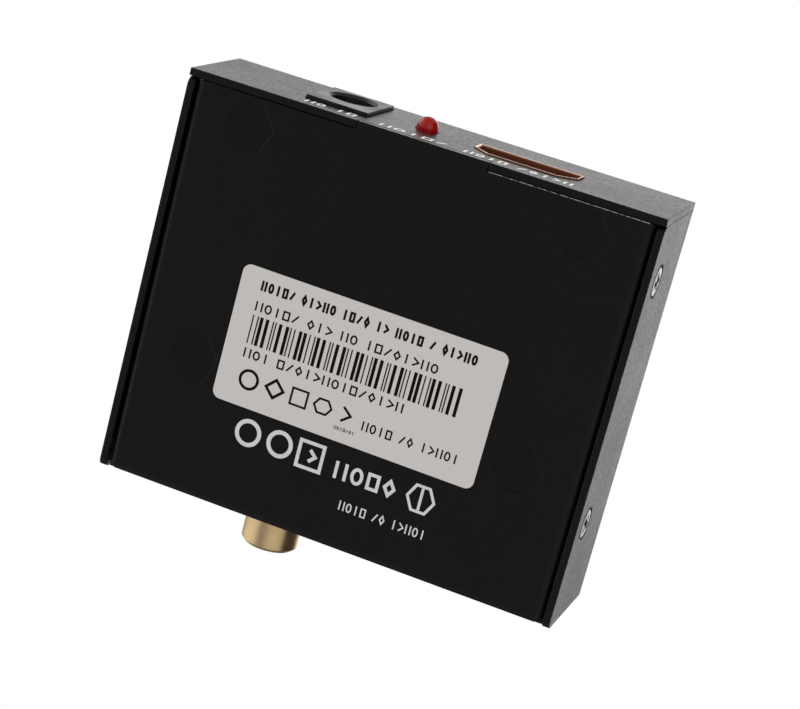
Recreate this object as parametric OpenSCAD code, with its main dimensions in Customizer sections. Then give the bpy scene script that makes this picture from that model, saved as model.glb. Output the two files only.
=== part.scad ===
// Small converter that passes a video signal on and splits off its sound.
// A folded steel cover and base close round one circuit board that carries all the sockets.
// +X is to the right of the input panel as one faces it, +Y runs from the input panel to the
// output panel, and +Z is up. The origin lies under the middle of the case, on the surface
// that the case rests on. All lengths are in millimetres.

/* [Case] */
// Outside width over the two side walls
case_w = 68; // [60:1:76]
// Outside depth, from the input panel to the ends of the side walls
case_d = 58.2; // [50:0.4:64]
// Outside height, from the bottom plate to the top
case_h = 18.5; // [16.6:0.1:22]
// Thickness of the sheet steel
sheet_t = 1; // [0.8:0.1:1.2]
// Inside radius of every fold
fold_r = 0.2; // [0.2:0.1:0.6]
// Gap between a side wall and the flange of the base beside it
side_gap = 0.2; // [0.2:0.05:0.4]
// Gap along the seams where the input panel covers the walls and the base
seam_gap = 0.15; // [0.1:0.05:0.3]
// Gap between the output panel and the top
top_gap = 0.3; // [0.2:0.1:0.6]
// How far the output panel stands in from the ends of the side walls
output_set = 0.1; // [0:0.1:1]
// Width of the relief hole at the upper end of each seam beside the input panel
slit_w = 0.5; // [0.3:0.1:0.8]
// Radius of the lower corners of the side walls
wall_corner_r = 1.2; // [0.6:0.2:1.8]
// Height of the flanges of the base, over the bottom plate's underside
flange_h = 8.5; // [8:0.5:10]
// Size of the corners cut from the bottom plate, along each side
corner_cut = 1.2; // [0.8:0.2:1.6]
// Width of the tab of the bottom plate that shows in the input panel
tab_w = 18.6; // [12:1:24]

/* [Case screws] */
// Height of the screws over the underside of the case
side_screw_z = 5.1; // [4.8:0.1:5.5]
// Distance from the input panel to the front pair of screws
side_screw_front = 9.3; // [8:0.1:12]
// Distance from the ends of the side walls to the rear pair of screws
side_screw_rear = 14.3; // [11:0.1:16]
// Thread diameter
side_screw_d = 3; // [2.5:0.1:3]
// Length over the countersunk head
side_screw_len = 4; // [3.4:0.1:4]
// Diameter of the head
side_head_d = 4; // [3.8:0.1:4.6]
// Diameter of the countersink in the side wall
sink_d = 5; // [4.8:0.1:5.2]
// Height of the drawn collar round each threaded hole in a flange
collar_h = 0.8; // [0.4:0.1:1]

/* [Label] */
// Width of the label under the case
label_w = 38.9; // [34:0.1:42]
// Depth of the label
label_d = 19.6; // [17:0.1:22]
// Thickness of the label
label_t = 0.15; // [0.1:0.05:0.3]
// Radius of its corners
label_corner_r = 1.2; // [0.6:0.1:2]
// Place of its middle, to the right of the middle of the case
label_x = -0.55; // [-4:0.05:4]
// Place of its middle, behind the middle of the case
label_y = 4.1; // [2:0.1:6]
// Angle at which it was stuck on
label_tilt = 0.5; // [-1:0.1:1]

/* [Circuit board and standoffs] */
// Thickness of the board
board_t = 1.6; // [1.2:0.1:2]
// Gap between the board and the flanges of the base
board_side_gap = 2.2; // [1.9:0.1:3]
// Gap between the board and each panel
board_end_gap = 0.5; // [0.3:0.1:1]
// Height of a standoff over the bottom plate
standoff_h = 1.9; // [1.6:0.1:2.6]
// Diameter of a standoff's barrel
standoff_d = 5; // [4.6:0.1:5.4]
// Width of the clinched hexagon across its corners
standoff_hex = 7; // [6.6:0.1:7.4]
// Distance from the outside of a side wall to the standoffs beside it
standoff_side = 10; // [8:0.5:11]
// Gap between the front edge of the bottom plate and the hexagons beside it
standoff_edge_gap = 0.65; // [0.3:0.05:1.2]
// Distance from the ends of the side walls to the rear standoffs
standoff_rear = 19.9; // [17:0.1:22]
// Thread diameter of the board screws
board_screw_d = 3; // [2.5:0.1:3]
// Diameter of their heads
board_head_d = 5.5; // [5:0.1:5.8]
// Height of their heads
board_head_h = 1.8; // [1.4:0.1:2.2]

/* [Video sockets] */
// Gap between the input socket and the head of the board screw beside it
video_screw_gap = 1.4; // [0.4:0.1:3]
// Width of the opening
mouth_w = 14; // [13.8:0.1:14.2]
// Height of the opening
mouth_h = 4.55; // [4.4:0.05:4.8]
// Width of the flat at the foot of the opening
mouth_flat_w = 9.6; // [9:0.1:11]
// Height of the slanted lower corners
mouth_key_h = 1.9; // [1.6:0.1:2.2]
// Thickness of the shell
shell_t = 0.35; // [0.3:0.05:0.4]
// Length of the shell
shell_len = 11; // [10:0.5:12]
// How far the shell stands out of its panel
shell_proud = 0.2; // [0:0.1:0.5]
// Height of the shell over the board
shell_lift = 0.3; // [0.1:0.1:0.4]
// Width of the tongue
tongue_w = 11.2; // [10.8:0.1:11.6]
// Thickness of the tongue
tongue_t = 1.2; // [1:0.1:1.4]
// Height of the tongue over the foot of the opening
tongue_rise = 1.7; // [1.5:0.1:1.9]
// How far the tongue stands back from the mouth
tongue_back = 1.2; // [0.8:0.1:1.6]
// Distance between neighbouring contacts in a row
contact_pitch = 1; // [0.9:0.02:1.04]
// Width of a contact
contact_w = 0.34; // [0.26:0.02:0.38]
// Thickness of a contact
contact_t = 0.15; // [0.1:0.05:0.25]

/* [Power jack] */
// Gap between the jack and the head of the board screw beside it
jack_screw_gap = 2.55; // [0.6:0.05:4]
// Width of the jack
jack_w = 9; // [8.6:0.1:9.4]
// Height of the jack over the board
jack_h = 11; // [10.6:0.1:11.4]
// Length of the jack
jack_len = 14; // [13:0.5:15]
// Length of the square face block
jack_face_len = 3.5; // [2.5:0.5:4.5]
// How far the jack stands out of the input panel
jack_proud = 0.5; // [0.2:0.1:0.8]
// Diameter of the bore
jack_bore_d = 6.3; // [6:0.1:6.5]
// Depth of the bore
jack_bore_len = 9.5; // [9:0.5:11]
// Diameter of the centre pin
jack_pin_d = 2; // [1.6:0.1:2.5]
// How far the pin's tip stands back from the mouth
jack_pin_back = 0.8; // [0.4:0.1:2]

/* [Lamp] */
// Height of the lamp's axis over the board
lamp_axis_h = 3.9; // [3:0.1:5]
// Diameter of the lens
lamp_d = 3; // [2.8:0.1:3.2]
// Diameter of the rim at the foot of the lens
lamp_rim_d = 3.8; // [3.6:0.1:4.4]
// Length of the rim
lamp_rim_len = 1; // [0.8:0.1:1.4]
// Length from the foot to the tip
lamp_len = 5.3; // [5:0.1:6]
// How far the tip stands out of the input panel
lamp_proud = 1.9; // [1.2:0.1:2.2]
// Thickness of a lead
lead_t = 0.5; // [0.4:0.05:0.6]
// Distance between the two leads
lead_pitch = 2.54; // [2:0.02:2.8]

/* [Phono socket] */
// Gap between its housing and the stereo socket
phono_stereo_gap = 3.4; // [2:0.1:5]
// Height of its axis over the board
phono_axis_h = 5.5; // [5.2:0.1:6]
// Diameter of the barrel
phono_d = 8.2; // [8:0.1:8.4]
// Thickness of the barrel's wall
phono_wall = 0.6; // [0.4:0.1:0.8]
// How far the barrel stands out of the output panel
phono_proud = 6.1; // [6:0.1:9]
// Width of the housing behind the panel
phono_housing_w = 10.4; // [10:0.1:11]
// Length of the housing
phono_housing_len = 9; // [8:0.5:10]
// Diameter inside the centre contact
phono_contact_d = 3.2; // [3:0.1:3.4]
// Depth of the centre contact behind the mouth
phono_contact_len = 7.5; // [7:0.5:9]

/* [Stereo socket] */
// Distance from the left edge of the board to the housing
stereo_edge_gap = 4.1; // [2:0.1:5]
// Width of the housing
stereo_w = 7; // [6.6:0.1:7.4]
// Wall of the housing over and under the nose
stereo_wall = 0.5; // [0.3:0.1:0.8]
// Length of the housing
stereo_len = 12; // [11.5:0.5:12.5]
// Diameter of the nose
stereo_nose_d = 5; // [4.8:0.1:5.2]
// Diameter of the hole in the nose
stereo_bore_d = 3.6; // [3.5:0.05:3.7]
// How far the nose stands out of the output panel
stereo_proud = 0.3; // [0:0.1:0.5]

/* [Board parts] */
// Side of the signal chip's square body
receiver_w = 14; // [12:0.5:14]
// Number of leads on each side of it
receiver_leads = 20; // [16:1:24]
// Length of the sound chip's body
audio_len = 9.9; // [9:0.1:10.5]
// Width of the sound chip's body
audio_w = 3.9; // [3.6:0.1:4.4]
// Height of the chips over the board
chip_h = 1.5; // [1.2:0.1:1.8]
// Length of the crystal can
crystal_len = 11.3; // [10:0.1:11.5]
// Width of the crystal can
crystal_w = 4.7; // [4.4:0.1:5]
// Height of the crystal can
crystal_h = 3.6; // [3:0.1:4]
// Diameter of a smoothing capacitor
capacitor_d = 5; // [4:0.1:5.5]
// Height of a smoothing capacitor
capacitor_h = 5.4; // [4.5:0.1:6]
// Side of the power inductor
inductor_w = 6; // [5:0.1:6.5]
// Height of the power inductor
inductor_h = 3; // [2.5:0.1:4]
// Length of the regulator's body
regulator_len = 6.5; // [6:0.1:7]
// Width of the regulator's body
regulator_w = 3.5; // [3.2:0.1:3.8]
// Length of a chip resistor or chip capacitor
passive_len = 1.6; // [1.2:0.1:1.8]
// Width of a chip resistor or chip capacitor
passive_w = 0.8; // [0.6:0.05:1]

/* [Hidden] */
$fn = 64;

// Colours
painted_steel = [0.11, 0.11, 0.11];
nickel = [0.78, 0.77, 0.74];
gold = [0.83, 0.68, 0.42];
label_grey = [0.78, 0.76, 0.75];
board_green = [0.08, 0.36, 0.2];
black_plastic = [0.09, 0.09, 0.09];
lamp_red = [0.75, 0.08, 0.08];
tin = [0.72, 0.72, 0.74];
ferrite = [0.25, 0.25, 0.27];
ceramic = [0.62, 0.5, 0.36];

// Clearances and small sizes
overrun = 1;              // how far a cut runs past what it cuts
cut_gap = 0.2;            // between a socket and its hole in the panel
slot_gap = 0.1;           // between a leg and its slot in the board
thread_gap = 0.05;        // between a screw's thread and its hole
tip_gap = 0.1;            // between a board screw's tip and the floor of its hole
hex_set = 0.04;           // how far a clinched hexagon stands in from the plate's underside
recess_w = 0.7;           // width of a screw's cross recess
recess_depth = 0.9;       // depth of a screw's cross recess
recess_span_share = 0.58; // length of the recess as a share of the head's diameter
side_dome_h = 0.12;       // height of the dome on a side screw's head
board_dome_h = 0.5;       // height of the dome on a board screw's head
board_hole_gap = 0.2;     // between a board screw and its hole in the board
collar_wall = 0.7;        // wall of the drawn collar round a threaded hole
lug_t = 0.3;              // thickness of solder lugs and contact springs
lug_w = 2;                // width of solder lugs

// Case planes
fold_o = fold_r + sheet_t;
base_z = label_t;
top_z = base_z + case_h;
front_y = -case_d / 2;
rear_y = case_d / 2;
seam_y = front_y + sheet_t + seam_gap;
flange_x = case_w / 2 - sheet_t - side_gap;
output_y = rear_y - output_set;
side_screw_ys = [front_y + side_screw_front, rear_y - side_screw_rear];
side_screw_up = base_z + side_screw_z;

// Board planes
board_x = flange_x - sheet_t - board_side_gap;
board_front_y = front_y + sheet_t + board_end_gap;
board_rear_y = output_y - sheet_t - board_end_gap;
board_mid_y = (board_front_y + board_rear_y) / 2;
board_w = 2 * board_x;
board_d = board_rear_y - board_front_y;
board_top_z = base_z + sheet_t + standoff_h + board_t;
board_screw_len = board_t + standoff_h + sheet_t / 2;
standoff_x = case_w / 2 - standoff_side;
standoff_ys = [seam_y + standoff_edge_gap + standoff_hex / 2, rear_y - standoff_rear];
standoff_places = [for (side = [-1, 1], y = standoff_ys) [side * standoff_x, y]];
standoff_turn = -8;

// Places of the sockets and the lamp, to the right of the middle
screw_reach_x = standoff_x - board_head_d / 2;
video_in_x = screw_reach_x - video_screw_gap - shell_t - mouth_w / 2;
video_out_x = video_in_x;
jack_x = jack_screw_gap + jack_w / 2 - screw_reach_x;
lamp_x = (jack_x + jack_w / 2 + video_in_x - mouth_w / 2 - shell_t) / 2;
stereo_x = stereo_edge_gap + stereo_w / 2 - board_x;
phono_x = stereo_x + stereo_w / 2 + phono_stereo_gap + phono_housing_w / 2;

// Video sockets, from the mouth inwards
shell_back = shell_len - shell_proud;
key_run = (mouth_w - mouth_flat_w) / 2;
key_slope = norm([key_run, mouth_key_h]);
mouth_foot_h = shell_lift + shell_t;
lead_in = 0.25;
block_len = 3.6;
block_front = shell_back - block_len;
tongue_foot_h = mouth_foot_h + tongue_rise;
contact_start = 0.5;
contact_foot = 0.9;
top_contacts = 10;
shell_leg_len = 1;
shell_leg_ys = [2.6, 8];
leaf_x = 3;
leaf_w = 1.8;
leaf_slit = 0.3;
leaf_ys = [2.4, 6];

// Power jack
jack_axis_h = jack_h - jack_w / 2;
jack_body_inset = 0.4;
jack_lead_in = 0.4;
jack_spring_w = 2.4;
jack_spring_ys = [2.4, 7.4];
jack_rivet_d = 3.2;
jack_back = jack_len - jack_proud;

// Lamp
lamp_hole_gap = 0.15;
lamp_foot = lamp_len - lamp_proud;
lead_run = 1.4;

// Phono socket
phono_neck_gap = 0.2;
phono_chamfer = 0.5;
phono_seat = 2;
phono_lip = 1;
phono_insulator_set = 0.5;
phono_contact_wall = 0.4;
phono_rod_d = 1.2;
phono_lug_t = 0.4;
phono_inner_d = phono_d - 2 * phono_wall;
phono_lip_gap = 0.3;
phono_shoulder = 2.4;

// Stereo socket
stereo_h = stereo_nose_d + 2 * stereo_wall;
stereo_axis_h = stereo_h / 2;
stereo_seat = 1.5;
stereo_inner_gap = 0.2;
stereo_inner_len = 10;
stereo_spring_w = 1.6;
stereo_spring_ys = [[3.5, 7], [6, 9.5]];
stereo_pocket = 0.6;
stereo_spring_gap = 0.15;

// Board parts: places are shares of the board's width and depth, from its middle
receiver_place_shares = [0.19, -0.02];
audio_place_shares = [-0.12, 0.15];
crystal_place_shares = [-0.09, -0.08];
regulator_place_shares = [-0.28, 0.05];
inductor_place_shares = [-0.27, -0.12];
capacitor_place_shares = [[-0.41, -0.24], [-0.41, -0.09], [0.4, 0.33]];
passive_row_shares = [[0.11, -0.25, 7], [0.11, 0.23, 7], [-0.24, 0.24, 5], [0.4, -0.12, 3]];
passive_pitch = 1.9;
passive_h = 0.6;
receiver_pitch_share = 0.042;
audio_lead_count = 8;
audio_pitch_share = 0.128;
pin_t = 0.15;
pin_w_share = 0.45;
pin_out = 0.4;
pin_foot = 1;
body_lift = 0.1;
crystal_rim = 0.4;
capacitor_foot = 0.15;
capacitor_foot_h = 0.8;
inductor_corner = 1.2;
inductor_foot_h = 0.8;
regulator_h = 1.6;
regulator_tab = [3, 1.8];
regulator_lead_count = 3;
regulator_pitch = 2.3;
regulator_lead_w = 0.7;

// Cover: top, side walls and input panel from one sheet, with its upper corners ground round
module cover() color(painted_steel) difference() {
    cover_form(0);
    cover_form(sheet_t);
    for (side = [-1, 1]) translate([side * case_w / 2, 0, 0]) along_x(-sheet_t, sheet_t) wall_cuts();
    along_y(front_y - overrun, front_y + fold_o) input_openings();
    for (side = [-1, 1], y = side_screw_ys) at_side_screw(side, y) {
        cylinder(d = side_screw_d + 2 * thread_gap, h = sheet_t + overrun);
        cylinder(d1 = sink_d, d2 = side_screw_d, h = (sink_d - side_screw_d) / 2);
    }
}

// Outside of the cover, or with an inset the room in it: a block with three round upper edges
module cover_form(inset) intersection() {
    along_y(front_y + inset, rear_y + inset) translate([0, base_z - inset])
        rounded_top(case_w - 2 * inset, case_h, fold_o - inset);
    along_x(-case_w / 2, case_w / 2) translate([rear_y + inset, base_z - inset])
        rounded_top(2 * case_d, case_h, fold_o - inset);
}

// What is cut from a side wall: the seam behind the input panel, its relief and the lower corners
module wall_cuts() {
    difference() {
        translate([front_y + sheet_t, base_z - overrun])
            square([case_d + overrun - sheet_t, case_h + overrun - fold_o]);
        translate([(seam_y + rear_y) / 2, top_z])
            mirror([0, 1]) rounded_top(rear_y - seam_y, case_h, wall_corner_r);
    }
    translate([seam_y - seam_gap / 2, top_z - fold_o]) circle(d = slit_w);
}

// Holes for the sockets and the lamp, and the notch for the tab
module input_openings() {
    translate([-tab_w / 2 - seam_gap, base_z - overrun])
        square([tab_w + 2 * seam_gap, overrun + sheet_t + seam_gap]);
    translate([video_in_x, board_top_z + mouth_foot_h]) polygon(mouth_points(shell_t + cut_gap));
    translate([jack_x - jack_w / 2 - cut_gap, board_top_z - cut_gap])
        square([jack_w + 2 * cut_gap, jack_h + 2 * cut_gap]);
    translate([lamp_x, board_top_z + lamp_axis_h]) circle(d = lamp_d + 2 * lamp_hole_gap);
}

// Base: bottom plate, two flanges, output panel and front tab from one sheet
module base() color(painted_steel) difference() {
    union() {
        difference() {
            base_form(0);
            base_form(sheet_t);
        }
        along_y(output_y - sheet_t, output_y) translate([0, base_z + fold_o])
            rounded_top(2 * flange_x, case_h - fold_o - sheet_t - top_gap, fold_o);
        translate([-tab_w / 2, front_y, base_z]) cube([tab_w, seam_y - front_y + seam_gap, sheet_t]);
        for (side = [-1, 1], y = side_screw_ys) at_side_screw(side, y)
            translate([0, 0, sheet_t + side_gap + sheet_t / 2])
            cylinder(d = side_screw_d + 2 * collar_wall, h = sheet_t / 2 + collar_h);
    }
    along_y(output_y - fold_o, output_y + overrun) output_openings();
    for (side = [-1, 1]) translate([side * flange_x, output_y, base_z - overrun]) {
        cylinder(r = corner_cut, h = overrun + fold_o, $fn = 4);
        translate([-sheet_t, -sheet_t - seam_gap, overrun + fold_o]) cube([2 * sheet_t, seam_gap, flange_h]);
    }
    for (side = [-1, 1], y = side_screw_ys) at_side_screw(side, y)
        cylinder(d = side_screw_d + 2 * thread_gap, h = 2 * sheet_t + side_gap + collar_h + overrun);
    for (place = standoff_places) translate([place.x, place.y, base_z - overrun])
        rotate(standoff_turn) cylinder(d = standoff_hex, h = sheet_t + 2 * overrun, $fn = 6);
}

// Tray of the base, or with an inset the room in it: a block with three round lower edges
module base_form(inset) translate([0, 0, base_z + flange_h + inset]) mirror([0, 0, 1]) intersection() {
    along_y(seam_y - inset, output_y - inset)
        rounded_top(2 * (flange_x - inset), flange_h, fold_o - inset);
    along_x(-flange_x, flange_x) translate([seam_y - inset, 0])
        rounded_top(2 * (output_y - seam_y), flange_h, fold_o - inset);
}

// Holes for the sockets in the output panel
module output_openings() {
    translate([video_out_x, board_top_z + mouth_foot_h]) polygon(mouth_points(shell_t + cut_gap));
    translate([phono_x, board_top_z + phono_axis_h]) circle(d = phono_d + 2 * cut_gap);
    translate([stereo_x, board_top_z + stereo_axis_h]) circle(d = stereo_nose_d + 2 * cut_gap);
}

// Countersunk screws that hold the cover to the flanges, two on each side
module case_screws() color(nickel) for (side = [-1, 1], y = side_screw_ys) at_side_screw(side, y)
    difference() {
        union() {
            cylinder(d = side_head_d, h = (sink_d - side_head_d) / 2);
            translate([0, 0, (sink_d - side_head_d) / 2])
                cylinder(d1 = side_head_d, d2 = side_screw_d, h = (side_head_d - side_screw_d) / 2);
            cylinder(d = side_screw_d, h = side_screw_len);
            mirror([0, 0, 1]) dome(side_head_d, side_dome_h);
        }
        translate([0, 0, -overrun]) cross_recess(side_head_d, overrun + recess_depth);
    }

// Label stuck under the bottom plate: the case rests on it
module rating_label() color(label_grey) translate([label_x, label_y]) rotate(label_tilt)
    linear_extrude(label_t) rounded_plate(label_w, label_d, label_corner_r);

// Clinched standoffs: a hexagon pressed into the plate, under a threaded barrel
module standoffs() color(nickel) for (place = standoff_places) translate([place.x, place.y, base_z])
    difference() {
        union() {
            translate([0, 0, hex_set]) rotate(standoff_turn)
                cylinder(d = standoff_hex, h = sheet_t - hex_set, $fn = 6);
            translate([0, 0, sheet_t - hex_set]) cylinder(d = standoff_d, h = standoff_h + hex_set);
        }
        translate([0, 0, sheet_t / 2 - tip_gap])
            cylinder(d = board_screw_d + 2 * thread_gap, h = standoff_h + sheet_t + overrun);
    }

// Pan-head screws that hold the board to the standoffs
module board_screws() color(nickel) for (place = standoff_places)
    translate([place.x, place.y, board_top_z]) difference() {
        union() {
            cylinder(d = board_head_d, h = board_head_h - board_dome_h);
            translate([0, 0, board_head_h - board_dome_h]) dome(board_head_d, board_dome_h);
            translate([0, 0, -board_screw_len]) cylinder(d = board_screw_d, h = board_screw_len + board_head_h / 2);
        }
        translate([0, 0, board_head_h - recess_depth]) cross_recess(board_head_d, recess_depth + overrun);
    }

// Circuit board, with a hole or slot for every screw, leg and lead
module circuit_board() color(board_green) difference() {
    translate([-board_x, board_front_y, board_top_z - board_t]) cube([board_w, board_d, board_t]);
    for (place = standoff_places) translate([place.x, place.y, board_top_z - board_t - overrun])
        cylinder(d = board_screw_d + 2 * board_hole_gap, h = board_t + 2 * overrun);
    at_input(video_in_x) shell_legs(slot_gap);
    at_output(video_out_x) shell_legs(slot_gap);
    at_input(jack_x) {
        jack_pin_leg(slot_gap);
        jack_spring_leg(slot_gap);
    }
    at_input(lamp_x) lamp_legs(slot_gap);
    at_output(phono_x) {
        phono_barrel_leg(slot_gap);
        phono_contact_leg(slot_gap);
    }
    at_output(stereo_x) stereo_legs(slot_gap);
}

// Input and output video sockets: the same three pieces, turned to face each panel
module video_in_shell() at_input(video_in_x) socket_shell();
module video_in_insulator() at_input(video_in_x) socket_insulator();
module video_in_contacts() at_input(video_in_x) socket_contacts();
module video_out_shell() at_output(video_out_x) socket_shell();
module video_out_insulator() at_output(video_out_x) socket_insulator();
module video_out_contacts() at_output(video_out_x) socket_contacts();

// Plated shell with slanted lower corners, a flared mouth, spring leaves and four legs
module socket_shell() color(gold) {
    difference() {
        along_y(-shell_proud, shell_back) translate([0, mouth_foot_h]) polygon(mouth_points(shell_t));
        along_y(-shell_proud - overrun, shell_back + overrun)
            translate([0, mouth_foot_h]) polygon(mouth_points(0));
        hull() for (step = [0, 1])
            along_y(-shell_proud - step * lead_in, lead_in - shell_proud - step * lead_in)
            translate([0, mouth_foot_h]) polygon(mouth_points(step * lead_in));
        for (x = [-leaf_x, leaf_x]) {
            translate([x, 0, shell_lift - overrun]) leaf_slits(overrun + shell_t + lead_in);
            translate([x, 0, mouth_foot_h + mouth_h - lead_in]) leaf_slits(overrun + shell_t + lead_in);
        }
    }
    shell_legs(0);
}

// Slits on three sides of a spring leaf, h high
module leaf_slits(h) {
    for (side = [-1, 1])
        translate([side * (leaf_w + leaf_slit) / 2 - leaf_slit / 2, leaf_ys[0], 0])
        cube([leaf_slit, leaf_ys[1] - leaf_ys[0], h]);
    translate([-leaf_w / 2 - leaf_slit, leaf_ys[0] - leaf_slit, 0])
        cube([leaf_w + 2 * leaf_slit, leaf_slit, h]);
}

// Legs of the shell, or with a grow value the slots that take them
module shell_legs(grow) for (side = [-1, 1], y = shell_leg_ys) {
    foot_slot(side * (mouth_w + shell_t) / 2, y, shell_t, shell_leg_len, grow);
    translate([side * (mouth_w + shell_t) / 2 - shell_t / 2, y - shell_leg_len / 2, 0])
        cube([shell_t, shell_leg_len, mouth_foot_h + 2 * mouth_key_h]);
}

// Moulded block with the tongue, with a channel for each contact
module socket_insulator() color(black_plastic) difference() {
    union() {
        along_y(block_front, shell_back) translate([0, mouth_foot_h]) polygon(mouth_points(0));
        translate([-tongue_w / 2, tongue_back - shell_proud, tongue_foot_h])
            cube([tongue_w, block_front + overrun - tongue_back + shell_proud, tongue_t]);
    }
    contact_rows();
}

module socket_contacts() color(gold) contact_rows();

// Contacts on both faces of the tongue: the lower row has one less and stands between the upper
module contact_rows() for (row = [0, 1], i = [0 : top_contacts - 1 - row])
    let (x = (i - (top_contacts - 1 - row) / 2) * contact_pitch,
        z = row == 0 ? tongue_foot_h + tongue_t : tongue_foot_h - contact_t)
    along_x(x - contact_w / 2, x + contact_w / 2)
    polygon(stepped_strip(tongue_back - shell_proud + contact_start, shell_back,
        shell_back + contact_foot, z, contact_t));

// Power jack: square face block, round body, bore with a flared mouth
module power_jack_housing() color(black_plastic) at_input(jack_x) difference() {
    union() {
        translate([-jack_w / 2, -jack_proud, 0]) cube([jack_w, jack_face_len, jack_h]);
        translate([jack_body_inset - jack_w / 2, -jack_proud, 0])
            cube([jack_w - 2 * jack_body_inset, jack_len, jack_axis_h]);
        rod_y(jack_w - 2 * jack_body_inset, -jack_proud, jack_back, jack_axis_h);
    }
    rod_y(jack_bore_d, -jack_proud - overrun, jack_bore_len - jack_proud, jack_axis_h);
    translate([0, -jack_proud, jack_axis_h]) rotate([-90, 0, 0])
        cylinder(d1 = jack_bore_d + 2 * jack_lead_in, d2 = jack_bore_d, h = jack_lead_in);
    rod_y(jack_pin_d, 0, jack_back + overrun, jack_axis_h);
    jack_spring_space(jack_bore_d / 4);
}

// Pin riveted through the back of the jack, with its solder lug
module power_jack_pin() color(nickel) at_input(jack_x) {
    rod_y(jack_pin_d, jack_pin_back + jack_pin_d / 2 - jack_proud, jack_back + lug_t, jack_axis_h);
    translate([0, jack_pin_back + jack_pin_d / 2 - jack_proud, jack_axis_h]) sphere(d = jack_pin_d);
    rod_y(jack_rivet_d, jack_back, jack_back + lug_t, jack_axis_h);
    translate([-lug_w / 2, jack_back, 0]) cube([lug_w, lug_t, jack_axis_h]);
    jack_pin_leg(0);
}

module jack_pin_leg(grow) foot_slot(0, jack_back + lug_t / 2, lug_w, lug_t, grow);

// Spring that lies along the floor of the bore and drops through the board
module power_jack_spring() color(nickel) at_input(jack_x) {
    jack_spring_space(0);
    jack_spring_leg(0);
}

module jack_spring_space(extra) {
    translate([-jack_spring_w / 2, jack_spring_ys[0], jack_axis_h - jack_bore_d / 2 - lug_t])
        cube([jack_spring_w, jack_spring_ys[1] - jack_spring_ys[0], lug_t + extra]);
    translate([-lug_w / 2, jack_spring_ys[1] - lug_t, 0])
        cube([lug_w, lug_t, jack_axis_h - jack_bore_d / 2 - lug_t / 2]);
}

module jack_spring_leg(grow) foot_slot(0, jack_spring_ys[1] - lug_t / 2, lug_w, lug_t, grow);

// Round-nosed lamp with a rim at its foot
module lamp_lens() color(lamp_red) at_input(lamp_x) {
    rod_y(lamp_d, lamp_d / 2 - lamp_proud, lamp_foot, lamp_axis_h);
    translate([0, lamp_d / 2 - lamp_proud, lamp_axis_h]) sphere(d = lamp_d);
    rod_y(lamp_rim_d, lamp_foot - lamp_rim_len, lamp_foot, lamp_axis_h);
}

// Two leads that run back from the lamp and bend down into the board
module lamp_leads() color(tin) at_input(lamp_x) {
    for (side = [-1, 1]) translate([side * lead_pitch / 2 - lead_t / 2, lamp_foot, 0]) {
        translate([0, 0, lamp_axis_h - lead_t / 2]) cube([lead_t, lead_run, lead_t]);
        translate([0, lead_run - lead_t, 0]) cube([lead_t, lead_t, lamp_axis_h]);
    }
    lamp_legs(0);
}

module lamp_legs(grow) for (side = [-1, 1])
    foot_slot(side * lead_pitch / 2, lamp_foot + lead_run - lead_t / 2, lead_t, lead_t, grow);

// Phono socket: moulded housing behind the output panel
module phono_housing() color(black_plastic) at_output(phono_x) difference() {
    along_y(sheet_t, sheet_t + phono_housing_len)
        chamfered_top(phono_housing_w, phono_axis_h + phono_housing_w / 2, phono_shoulder);
    rod_y(phono_d - 2 * phono_neck_gap, 0, sheet_t + phono_seat, phono_axis_h);
    rod_y(phono_rod_d, 0, sheet_t + phono_housing_len + overrun, phono_axis_h);
    phono_barrel_lug();
}

// Plated barrel: a tube with a chamfered mouth, a thinner neck in the panel and an earth lug
module phono_barrel() color(gold) at_output(phono_x) {
    difference() {
        union() {
            rod_y(phono_d, phono_chamfer - phono_proud, 0, phono_axis_h);
            translate([0, -phono_proud, phono_axis_h]) rotate([-90, 0, 0])
                cylinder(d1 = phono_d - 2 * phono_chamfer, d2 = phono_d, h = phono_chamfer);
            rod_y(phono_d - 2 * phono_neck_gap, -phono_neck_gap, sheet_t + phono_seat, phono_axis_h);
        }
        rod_y(phono_inner_d, -phono_proud - overrun, sheet_t + phono_seat + overrun, phono_axis_h);
    }
    phono_barrel_lug();
    phono_barrel_leg(0);
}

module phono_barrel_lug() translate([-lug_w / 2, sheet_t + phono_seat - phono_lug_t, 0])
    cube([lug_w, phono_lug_t, phono_axis_h - phono_inner_d / 2 - phono_wall / 4]);

module phono_barrel_leg(grow)
    foot_slot(0, sheet_t + phono_seat - phono_lug_t / 2, lug_w, phono_lug_t, grow);

// Insulator that fills the barrel round the centre contact
module phono_insulator() color(black_plastic) at_output(phono_x) difference() {
    rod_y(phono_inner_d, phono_insulator_set - phono_proud, sheet_t + phono_seat, phono_axis_h);
    rod_y(phono_contact_d + 2 * phono_lip_gap, -phono_proud - overrun,
        phono_lip + phono_insulator_set - phono_proud, phono_axis_h);
    rod_y(phono_contact_d + 2 * phono_contact_wall, phono_lip + phono_insulator_set - phono_proud,
        phono_contact_back(), phono_axis_h);
    rod_y(phono_rod_d, 0, sheet_t + phono_seat + overrun, phono_axis_h);
}

// Centre contact: a tube closed at the back, a rod through the housing and a solder lug
module phono_contact() color(gold) at_output(phono_x) {
    difference() {
        rod_y(phono_contact_d + 2 * phono_contact_wall, phono_lip + phono_insulator_set - phono_proud,
            phono_contact_back(), phono_axis_h);
        rod_y(phono_contact_d, -phono_proud - overrun,
            phono_contact_back() - phono_contact_wall, phono_axis_h);
    }
    rod_y(phono_rod_d, phono_contact_back() - phono_contact_wall / 2,
        sheet_t + phono_housing_len + lug_t, phono_axis_h);
    translate([-lug_w / 2, sheet_t + phono_housing_len, 0]) cube([lug_w, lug_t, phono_axis_h + phono_rod_d / 2]);
    phono_contact_leg(0);
}

module phono_contact_leg(grow)
    foot_slot(0, sheet_t + phono_housing_len + lug_t / 2, lug_w, lug_t, grow);

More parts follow.
